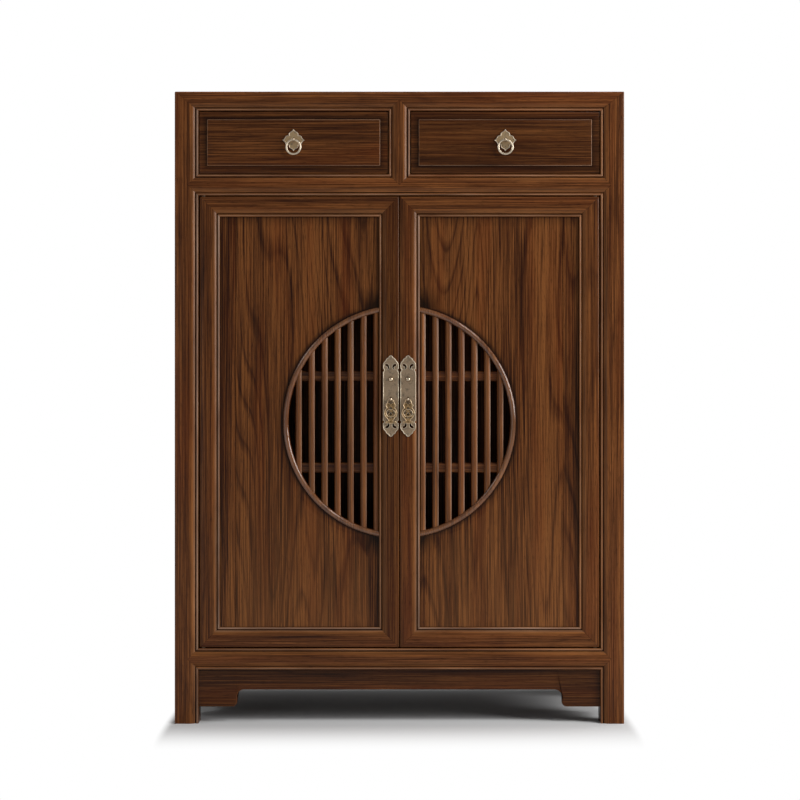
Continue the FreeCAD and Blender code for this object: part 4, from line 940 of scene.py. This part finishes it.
class CABINET_OT_doors(bpy.types.Operator):
    """Doors: mitred frames, jointed panels, the moon ring and its lattice."""

    bl_idname = "cabinet.doors"
    bl_label = "Doors"

    moon_radius: length("Moon radius", "Outer radius of the round window", 208.0)
    ring_width: length("Ring width", "Width of the ring round the window", 10.0)
    ring_round: length("Ring round", "Crown of the ring", 3.5)
    bar_width: length("Bar width", "Width of a lattice bar", 11.2)
    bar_pitch: length("Bar pitch", "Distance between lattice bars", 23.15)
    bar_tuck: length("Bar tuck", "How far the first bar sits behind the stile", 1.1)
    bar_depth: length("Bar depth", "Depth of a lattice bar", 8.0)
    bar_round: length("Bar round", "Crown of a lattice bar", 4.2)
    bar_count: bpy.props.IntProperty(name="Bars", description="Lattice bars of one door", default=7)
    crossbar_offset: length("Crossbar offset", "Crossbars above and below the middle", 82.0)
    crossbar_height: length("Crossbar height", "Height of a crossbar", 18.0)
    crossbar_depth: length("Crossbar depth", "Depth of a crossbar", 6.0)
    end_strip: length("End strip", "Narrow board glued to the panel's outer edge", 28.0)

    def execute(self, context):
        low, high = box_of("right_door_plate")
        bed = (np.abs(low + high) / 2, (high - low) / 2 * PLATE_SHADE_SHARES)
        elm = stained_elm("Elm door frames, planed, walnut-stained and waxed", stain=0.92)
        panel_elm = stained_elm("Elm door panels, flat-sawn, walnut-stained and waxed", stain=0.85,
                                figure_share=0.4, spread=0.068)
        ring_elm = stained_elm("Elm moon rings, steam-bent, walnut-stained and polished", stain=0.9,
                               shine=0.5, smooth=0.13)
        # painted light: the right door's meeting stile and bars take a lighter stain than the left door's,
        # as lit from the right
        side_stains_and_light = {"left": (0.6, 0.9), "right": (0.85, 1.2)}
        for side, sign in SIDES.items():
            stile_stain_and_light, bar_stain_and_light = side_stains_and_light[side]
            stile_elm = stained_elm(f"Elm {side} meeting stile, planed, walnut-stained", stain=stile_stain_and_light,
                                    bed=bed)
            bar_elm = stained_elm(f"Elm {side} lattice bars, planed and walnut-stained", stain=bar_stain_and_light,
                                  shine=0.16)
            self.frame(side, sign, elm, stile_elm)
            self.panel(side, sign, panel_elm)
            self.ring(side, sign, ring_elm)
            self.lattice(side, sign, bar_elm)
        return {"FINISHED"}

    def frame(self, side, sign, elm, stile_elm):
        """Stiles and rails, beaded along the panel and mitred at the corners."""
        mould = settings("moulding")
        hinge_low, hinge_high = box_of(f"{side}_hinge_stile", sign)
        width, thickness, height = hinge_high - hinge_low
        inner, outer = box_of(f"{side}_meeting_stile", sign)[0][0], hinge_high[0]
        (_, face, low), high = hinge_low, hinge_high[2]
        body = f"{side}_door"

        def bar(run, radius, rub):
            shape = section(width, round_edge(radius), bead_edge(rub), width / 2 - mould.bead_width)
            start = shape[0] + mould.seam
            stop = run - shape[0] - mould.seam
            return moulded_bar(shape, start, stop, (start, stop), thickness, thickness)

        stiles = (("hinge_stile", outer, -sign, mould.door_round, elm),
                  ("meeting_stile", inner, sign, mould.corner_round, stile_elm))
        for node, edge, facing, radius, wood in stiles:
            # painted highlight: a stile's bead that faces the light from the right is paler
            shell = bar(height, radius, LIT_BEAD if facing > 0 else DIM_BEAD)
            shell.placed((sign * edge, face, low), Z_AXIS, facing * X_AXIS, Y_AXIS)
            stand_in(f"{side}_{node}", "moulded", [shell], wood, body)
        # painted highlight: the bottom rail's bead, facing up, is as pale as a lit one
        rails = [bar(outer - inner, mould.corner_round, rub).placed((sign * inner, face, edge),
                                                                    sign * X_AXIS, across, Y_AXIS)
                 for edge, across, rub in ((low, Z_AXIS, LIT_BEAD), (high, -Z_AXIS, LEVEL_BEAD))]
        stand_in(f"{side}_door_rails", "moulded", rails, elm, body)

    def panel(self, side, sign, elm):
        """Panel boards run upright: each row reaches from the outer edge to the stile or the ring."""
        low, high = box_of(f"{side}_door_panel", sign)
        sight_near = box_of(f"{side}_meeting_stile", sign)[1][0]
        sight_far = box_of(f"{side}_hinge_stile", sign)[0][0]
        (near, face, foot), (far, back, head) = low, high
        middle = (foot + head) / 2
        sight_head = head - (far - sight_far)
        window = self.moon_radius - self.ring_width * PANEL_CUT
        rise = math.sqrt(window ** 2 - near ** 2)
        ends = np.linspace(0.0, 1.0, END_ROWS) ** 2
        levels = np.concatenate([
            foot + ends[:-1] * (middle - rise - foot),
            middle + rise * np.sin(np.linspace(-RIGHT_ANGLE, RIGHT_ANGLE, WINDOW_ROWS)),
            head + ends[-2::-1] * (middle + rise - head),
        ])[:, None]
        inner = np.maximum(near, np.sqrt(np.clip(window ** 2 - (levels - middle) ** 2, 0.0, None)))
        joint = sight_far - self.end_strip
        seam = 2 * settings("moulding").seam
        share = np.sin(np.linspace(0.0, RIGHT_ANGLE, BOARD_COLUMNS)) ** 2
        shells = []
        for start, stop in ((inner, joint - seam), (np.full_like(inner, joint + seam), far)):
            across = start + (stop - start) * share
            along = np.broadcast_to(levels, across.shape)
            from_ring = np.abs(np.hypot(across, along - middle) - window)
            # no shade is painted along the foot
            border = np.minimum.reduce([sight_head - along, sight_far - across, across - sight_near,
                                        from_ring])
            # painted shade: darker within the reach of the borders and the moon ring
            stain = BORDER_SHADE * np.clip(1.0 - np.clip(border, 0.0, None) / BORDER_REACH, 0.0, 1.0) ** 2
            # painted shadow: a thin dark line beside the moon ring
            line = RING_LINE * np.clip(1.0 - from_ring / self.ring_width, 0.0, 1.0)
            # painted light: paler towards the foot
            paler_foot = FOOT_PALING * np.clip((middle - along) / (middle - foot), 0.0, 1.0)
            shell = slab(along, across, back - face, PLAIN - stain - line + paler_foot)
            shells.append(shell.placed((0.0, face, 0.0), Z_AXIS, sign * X_AXIS, Y_AXIS))
        stand_in(f"{side}_door_panel", "boards", shells, elm, f"{side}_door")

    def ring(self, side, sign, elm):
        """Crowned section carried round the window's arc; each section point stops at the stile."""
        low, high = box_of(f"{side}_moon_ring", sign)
        loop, wear = crowned(self.moon_radius - self.ring_width, self.ring_width, self.ring_round,
                             high[1] - low[1], RING_RUB, SHADED)
        # painted shade: the ring's outer edge is darkened
        wear[CROWN_STEPS - 1] = RING_EDGE
        radius, depth = loop.T[:, :, None]
        turn = np.arccos(low[0] / radius) * np.linspace(-1.0, 1.0, ARC_STEPS)
        grid = place_points(radius * np.sin(turn), radius * np.cos(turn), depth)
        shell = Shell().tube(grid, wear[:, None], around=0)
        shell.placed((0.0, low[1], (low[2] + high[2]) / 2), Z_AXIS, sign * X_AXIS, Y_AXIS)
        # the ring is bent from strips, so its grain follows the arc
        shell.grain[:turn.size, 0] += (radius * turn - grid[..., 0]).ravel()
        stand_in(f"{side}_moon_ring", "crowned", [shell], elm, f"{side}_door")

    def lattice(self, side, sign, elm):
        """Upright bars and crossbars whose ends lie on the ring's inner circle."""
        low, high = box_of(f"{side}_lattice", sign)
        edge, origin = low[0], (0.0, low[1], (low[2] + high[2]) / 2)
        circle = self.moon_radius - self.ring_width * BAR_END
        loop, wear = crowned(0.0, self.bar_width, self.bar_round, self.bar_depth, BAR_RUB, BAR_BACK)
        # painted highlight: the right edge of every bar, which faces the light, is painted pale
        wear[[CROWN_STEPS - 2, CROWN_STEPS - 1] if sign > 0 else 1] = PLAIN + LIT_BEAD
        shells = []
        for step in range(self.bar_count):
            across = edge - self.bar_tuck + step * self.bar_pitch + loop[:, 0]
            reach = np.sqrt(circle ** 2 - across ** 2)
            grid = np.stack([place_points(end, across, loop[:, 1]) for end in (-reach, reach)])
            shells.append(Shell().tube(grid, wear).placed(origin, Z_AXIS, sign * X_AXIS, Y_AXIS))
        front, half, soft = self.bar_depth, self.crossbar_height / 2, self.bar_round / 2
        back = front + self.crossbar_depth
        corners = np.array([(-half + soft, front), (half - soft, front), (half, front + soft), (half, back),
                            (-half, back), (-half, front + soft), (-half + soft, front)])
        for level in (-self.crossbar_offset, self.crossbar_offset):
            up = level + corners[:, 0]
            reach = np.sqrt(circle ** 2 - up ** 2)
            grid = np.stack([place_points(end, up, corners[:, 1]) for end in (edge, reach)])
            shells.append(Shell().tube(grid, CROSSBAR_SHADE).placed(origin, sign * X_AXIS, Z_AXIS, Y_AXIS))
        stand_in(f"{side}_lattice", "bars", shells, elm, f"{side}_door")


# Fittings

# Outlines from part.py in millimetres, seen from the front: a start, then the ends of straight lines and,
# where a step has four numbers, a point on an arc and its end. The door plate's is one quarter from its
# tip, the pull plate's is its top petal, the drop's are right halves.
PLATE_QUARTER = ((0.0, 72.5), ((2.9, 71.1, 4.2, 68.5), (7.6, 66.7, 9.2, 63.3), (12.6, 59.7, 14.0, 55.0),
                               (14.0, 48.5), (11.8, 46.0, 14.0, 43.5)))
COMMA = ((7.4, 57.3), ((2.6, 52.0, 7.4, 46.7), (8.4, 46.7), (5.9, 52.0, 8.4, 53.4), (10.0, 55.9, 7.4, 57.3)))
PETAL = ((-8.2, 8.2), ((-8.4, 11.5, -5.0, 15.0), (-2.2, 16.8, 0.0, 19.8), (2.2, 16.8, 5.0, 15.0),
                       (8.4, 11.5, 8.2, 8.2)))
DROP_HALF = ((0.0, 1.4), ((4.4, -0.4, 6.2, -4.8), (9.5, -10.9), (7.6, -15.3), (11.9, -24.7, 7.6, -33.6),
                          (4.0, -38.1), (9.5, -39.9, 10.6, -43.0), (5.3, -42.8, 0.0, -44.3)))
DROP_MEDAL = ((0.0, -17.6), ((9.0, -24.7, 0.0, -31.8),))
QUARTER_TURN = np.array([[0.0, -1.0], [1.0, 0.0]])
OUTLINE_STEPS = 9
# Points along the rims of a door plate, a comma, a pull plate, a drop and its medal.
PLATE_POINTS, COMMA_POINTS, PETAL_POINTS, DROP_POINTS, MEDAL_POINTS = 360, 60, 240, 240, 96
# Points round the wire of a rim and of a pull ring, and along a pull ring.
RIM_STEPS, WIRE_STEPS, RING_STEPS = 13, 33, 97
# The place behind a drop, where shadow is painted, and the curls of its scrollwork.
SHADE_SHARES = (1.1, 1.0, 1.05)
CURL = 4.5 * MM


def outline_points(outline):
    """Points of an outline's lines and arcs, in metres."""
    start, steps = outline
    points = np.array([start])
    for step in steps:
        end = step[-2:]
        part = arc(points[-1], step[:2], end, OUTLINE_STEPS)[1:] if len(step) == 4 else np.array([end])
        points = np.concatenate([points, part])
    return points * MM


def both_halves(half):
    """Closed line from the points of its right half, laid from top to bottom."""
    return np.concatenate([half, half[-2:0:-1] * MIRROR])


def wire_loop(corners, radius, rise, count):
    """Closed wire sunk by half into a face, its outer side on a closed line.

    The line is divided evenly; each point carries an ellipse across the line, as far aside as the
    radius times its cosine and as far out of the face as the rise times its sine.
    """
    closed = np.concatenate([corners, corners[:1]])
    run = np.concatenate([[0.0], np.cumsum(np.linalg.norm(np.diff(closed, axis=0), axis=1))])
    places = np.linspace(0.0, run[-1], count, endpoint=False)
    line = np.stack([np.interp(places, run, closed[:, axis]) for axis in (0, 1)], axis=-1)
    step = np.roll(line, -1, axis=0) - np.roll(line, 1, axis=0)
    step /= np.linalg.norm(step, axis=1, keepdims=True)
    inward = np.stack([step[:, 1], -step[:, 0]], axis=-1)
    around = np.append(np.arange(count), 0)
    turn = np.linspace(0.0, 2 * math.pi, RIM_STEPS)
    flat = line[around, None] + inward[around, None] * radius * (1.0 - np.cos(turn))[:, None]
    shell = Shell()
    shell.grid(place_points(flat[..., 1], flat[..., 0], -rise * np.sin(turn)))
    return shell


class CABINET_OT_fittings(bpy.types.Operator):
    """Ring pulls, door plates, studs, drops, pins, bushes and catches."""

    bl_idname = "cabinet.fittings"
    bl_label = "Fittings"

    ring_radius: length("Ring radius", "Radius of a pull ring", 12.6)
    wire_radius: length("Wire radius", "Radius of the ring's wire", 1.8)
    plate_edge: length("Plate edge", "Rounding of the door plates", 0.6)
    petal_edge: length("Petal edge", "Rounding of the pull plates", 0.55)
    drop_edge: length("Drop edge", "Rounding of the drops", 0.6)
    rim_width: length("Rim width", "Width of the raised rims", 1.6)
    rim_rise: length("Rim rise", "Height of the raised rims", 0.8)

    def execute(self, context):
        metal = settings("metal")
        low, high = box_of("right_drop_pull")
        middle, half = (low + high) / 2 * (1.0, 0.0, 1.0), (high - low) / 2
        # the shade goes through the plate, whatever its depth
        half[1] = 1.0
        rim = antique_brass("Brass rims, rubbed by hands", metal.field, 0.5)
        chased = antique_brass("Brass relief of the drops, chased and rubbed", metal.golden, 0.35,
                               polish=0.05)
        bright = antique_brass("Brass rings, rubbed bright", metal.field, 0.6, polish=0.02)
        pivot = antique_brass("Brass pivots, turned and dulled", metal.tarnish, 0.12)
        knobs = antique_brass("Brass studs, turned and handled", metal.field, 0.32, polish=0.18)
        dressing = {
            "pull_plate": (antique_brass("Brass pull plates, cast and rubbed", metal.petal, 0.14),
                           self.petal_edge, rim),
            "door_plate": (antique_brass("Brass door plates, cast, shadow painted behind the drops", metal.field,
                                         0.12, shaded=(middle, half * SHADE_SHARES)), self.plate_edge, rim),
            "drop_pull": (antique_brass("Brass drops, cast with scrollwork and handled", metal.golden, 0.12,
                                        polish=0.1, scroll=(middle, CURL)), self.drop_edge, rim),
            "plate_studs": (knobs,),
            "pull_fixings": (knobs,),
            "pivot_pins": (pivot,),
            "strike": (turned_steel("Steel strikes, rolled", metal.strike),),
        }
        for side in SIDES:
            for node, looks in dressing.items():
                dress_node(f"{side}_{node}", *looks)
            self.ring(side, bright)
            self.relief(side, rim, chased)
        dress_node("pivot_bushes", pivot)
        dress_node("magnet_catches", turned_steel("Magnet catches, blackened steel", metal.catch))
        return {"FINISHED"}

    def ring(self, side, brass):
        """Torus: a small circle of wire carried round a large one, both closed."""
        low, high = box_of(f"{side}_pull_ring")
        turn = np.linspace(0.0, 2 * math.pi, RING_STEPS)[:, None]
        wire = np.linspace(0.0, 2 * math.pi, WIRE_STEPS)
        radius = self.ring_radius + self.wire_radius * np.cos(wire)
        shell = Shell()
        shell.grid(place_points(radius * np.cos(turn), radius * np.sin(turn),
                                self.wire_radius * np.sin(wire)))
        shell.placed((low + high) / 2, X_AXIS, Z_AXIS, Y_AXIS)
        stand_in(f"{side}_pull_ring", "wire", [shell], brass, f"{side}_ring")

    def relief(self, side, rim, chased):
        """Raised rims: wires along the outlines of the plates, the piercings and the drop."""
        radius, rise = self.rim_width / 2, self.rim_rise

        def raise_lines(node, ending, brass, body, lines, top=None):
            """Lay lines on a fitting's face, about its middle or from a height below its top."""
            low, high = box_of(f"{side}_{node}")
            x, _, z = (low + high) / 2
            for line in lines:
                line.placed((x, low[1], z if top is None else high[2] - top), Z_AXIS, X_AXIS, Y_AXIS)
            make_piece(f"{side}_{node}_{ending}", lines, brass, f"{side}_{body}", [])

        quarter = outline_points(PLATE_QUARTER)
        plate = both_halves(np.concatenate([quarter, quarter[::-1] * (1.0, -1.0)]))
        rims = [wire_loop(plate, radius, rise, PLATE_POINTS)]
        comma = outline_points(COMMA)[:-1]
        for turned in ((1, 1), (1, -1), (-1, 1), (-1, -1)):
            # a mirrored comma runs the other way round, and its rim always lies outside it
            path = (comma * turned)[::turned[0] * turned[1]]
            rims.append(wire_loop(path, radius / 2, rise / 2, COMMA_POINTS))
        raise_lines("door_plate", "rims", rim, "door", rims)
        petal = outline_points(PETAL)[:-1]
        petals = np.concatenate([petal @ np.linalg.matrix_power(QUARTER_TURN, turn) for turn in range(4)])
        raise_lines("pull_plate", "rim", rim, "drawer", [wire_loop(petals, radius, rise, PETAL_POINTS)])
        lines = [wire_loop(both_halves(outline_points(path)), radius, rise, count)
                 for path, count in ((DROP_HALF, DROP_POINTS), (DROP_MEDAL, MEDAL_POINTS))]
        raise_lines("drop_pull", "relief", chased, "drop", lines, DROP_HALF[0][1] * MM)


# Studio: place, target, size and power of each lamp

LAMPS = {
    "Key lamp": ((2.7, -1.4, 1.35), (0.0, 0.0, 0.3), (1.4, 1.4), 80.0),
    "Upper lamp": ((1.4, -1.7, 2.4), (0.0, 0.0, 0.5), (0.5, 0.5), 19.0),
    "Fill lamp": ((-2.0, -3.0, 0.3), (0.0, 0.0, 0.2), (1.6, 1.6), 10.0),
    "Top lamp": ((0.3, 0.05, 3.2), (0.3, 0.05, 0.0), (1.4, 0.4), 30.0),
    "Rim lamp": ((-2.1, -1.1, 2.0), (0.0, 0.0, 0.5), (0.7, 0.7), 9.0),
}
WHITE = (1.0, 1.0, 1.0)
FLECK = 2.5 * MM
# The paper is white this far from the cabinet; to the sides it fades sooner.
FADE_REACH = 0.25
FADE_UNITS = (1.0 / 12.0, 1.0, 1.0)
# Light of the room, and its brightness in a reflection.
ROOM_LIGHT, ROOM_MIRRORED = 0.12, 0.35


class CABINET_OT_studio(bpy.types.Operator):
    """Pale floor, soft lamps, white surroundings and the camera."""

    bl_idname = "cabinet.studio"
    bl_label = "Studio"

    def execute(self, context):
        self.floor(context.scene)
        self.world(context.scene)
        for name, (place, target, size, power) in LAMPS.items():
            light = bpy.data.lights.new(name, "AREA")
            light.shape = "RECTANGLE"
            light.size, light.size_y = size
            light.energy = power
            lamp = bpy.data.objects.new(name, light)
            lamp.location = place
            lamp.rotation_euler = (Vector(target) - Vector(place)).to_track_quat("-Z", "Y").to_euler()
            context.scene.collection.objects.link(lamp)
        self.camera(context.scene)
        return {"FINISHED"}

    def floor(self, scene):
        """Matt paper that fades into the white surroundings away from the cabinet."""
        studio = settings("studio")
        material = bpy.data.materials.new("Pale studio floor, matt paper")
        node = node_maker(material)
        fleck = node("TexNoise", node("TexCoord", out="Object"), Scale=1.0 / FLECK)
        colours = node("ValToRGB", fleck, stops=[(0.3, studio.paper), (0.7, studio.fleck)])
        paper = node("BsdfPrincipled", Base_Color=colours, Roughness=0.9)
        outside = node("VectorMath.MAXIMUM", from_middle(node, (*CAD_BOX[1][:2], 0.0), FADE_UNITS))
        reach = node("VectorMath.LENGTH", outside, out="Value")
        fade = node("MapRange", reach, interpolation_type="SMOOTHSTEP", From_Max=FADE_REACH)
        path = node("LightPath").node.outputs
        seen = node("Math.MAXIMUM", path["Is Camera Ray"], path["Is Glossy Ray"])
        seen = node("Math.MAXIMUM", seen, path["Is Transmission Ray"])
        white = node("Emission", WHITE, 1.0)
        node("OutputMaterial", node("MixShader", node("Math.MULTIPLY", fade, seen), paper, white))
        half = studio.floor_half
        mesh = bpy.data.meshes.new("studio_floor")
        corners = [(-half, -half, 0.0), (half, -half, 0.0), (half, half, 0.0), (-half, half, 0.0)]
        mesh.from_pydata(corners, [], [(0, 1, 2, 3)])
        mesh.materials.append(material)
        floor = bpy.data.objects.new("studio_floor", mesh)
        scene.collection.objects.link(floor)
        floor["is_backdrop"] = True

    def world(self, scene):
        """White surroundings, dimmer where they light the cabinet or show in a reflection."""
        scene.world = bpy.data.worlds.new("White studio")
        node = node_maker(scene.world)
        path = node("LightPath").node.outputs
        clear = node("Math.MAXIMUM", path["Is Camera Ray"], path["Is Transmission Ray"])
        mirrored = node("MapRange", path["Is Glossy Ray"], To_Min=ROOM_LIGHT, To_Max=ROOM_MIRRORED)
        node("OutputWorld", node("Background", WHITE, node("Math.MAXIMUM", clear, mirrored)))

    def camera(self, scene):
        """Camera straight in front of the cabinet, as in the photo."""
        studio = settings("studio")
        front = box_of("left_front_post")[0][1]
        data = bpy.data.cameras.new("Studio camera")
        data.lens = studio.lens
        data.sensor_width = studio.sensor
        camera = bpy.data.objects.new("Studio camera", data)
        camera.location = (studio.eye_shift, front - studio.distance, studio.eye_height)
        camera.rotation_euler = (RIGHT_ANGLE, 0.0, 0.0)
        scene.collection.objects.link(camera)
        scene.camera = camera
        scene.view_settings.view_transform = "Standard"


STEPS = ("frame_members", "boards", "aprons", "drawers", "doors", "fittings", "studio")


class CABINET_PT_steps(bpy.types.Panel):
    """The steps that dress the cabinet, in order."""

    bl_idname = "CABINET_PT_steps"
    bl_label = "Moon window cabinet"
    bl_space_type = "VIEW_3D"
    bl_region_type = "UI"
    bl_category = "Cabinet"

    def draw(self, context):
        for step in STEPS:
            self.layout.operator("cabinet." + step)


GROUPS = {
    "moulding": CabinetMoulding,
    "wood": CabinetWood,
    "metal": CabinetMetal,
    "studio": CabinetStudio,
}
CLASSES = (
    *GROUPS.values(),
    CABINET_OT_frame_members,
    CABINET_OT_boards,
    CABINET_OT_aprons,
    CABINET_OT_drawers,
    CABINET_OT_doors,
    CABINET_OT_fittings,
    CABINET_OT_studio,
    CABINET_PT_steps,
)


def register():
    for item in CLASSES:
        bpy.utils.register_class(item)
    for name, group in GROUPS.items():
        setattr(bpy.types.Scene, "cabinet_" + name, bpy.props.PointerProperty(type=group))


def unregister():
    for name in GROUPS:
        delattr(bpy.types.Scene, "cabinet_" + name)
    for item in reversed(CLASSES):
        bpy.utils.unregister_class(item)


def main():
    register()
    for step in STEPS:
        getattr(bpy.ops.cabinet, step)()


if __name__ == "__main__":
    main()
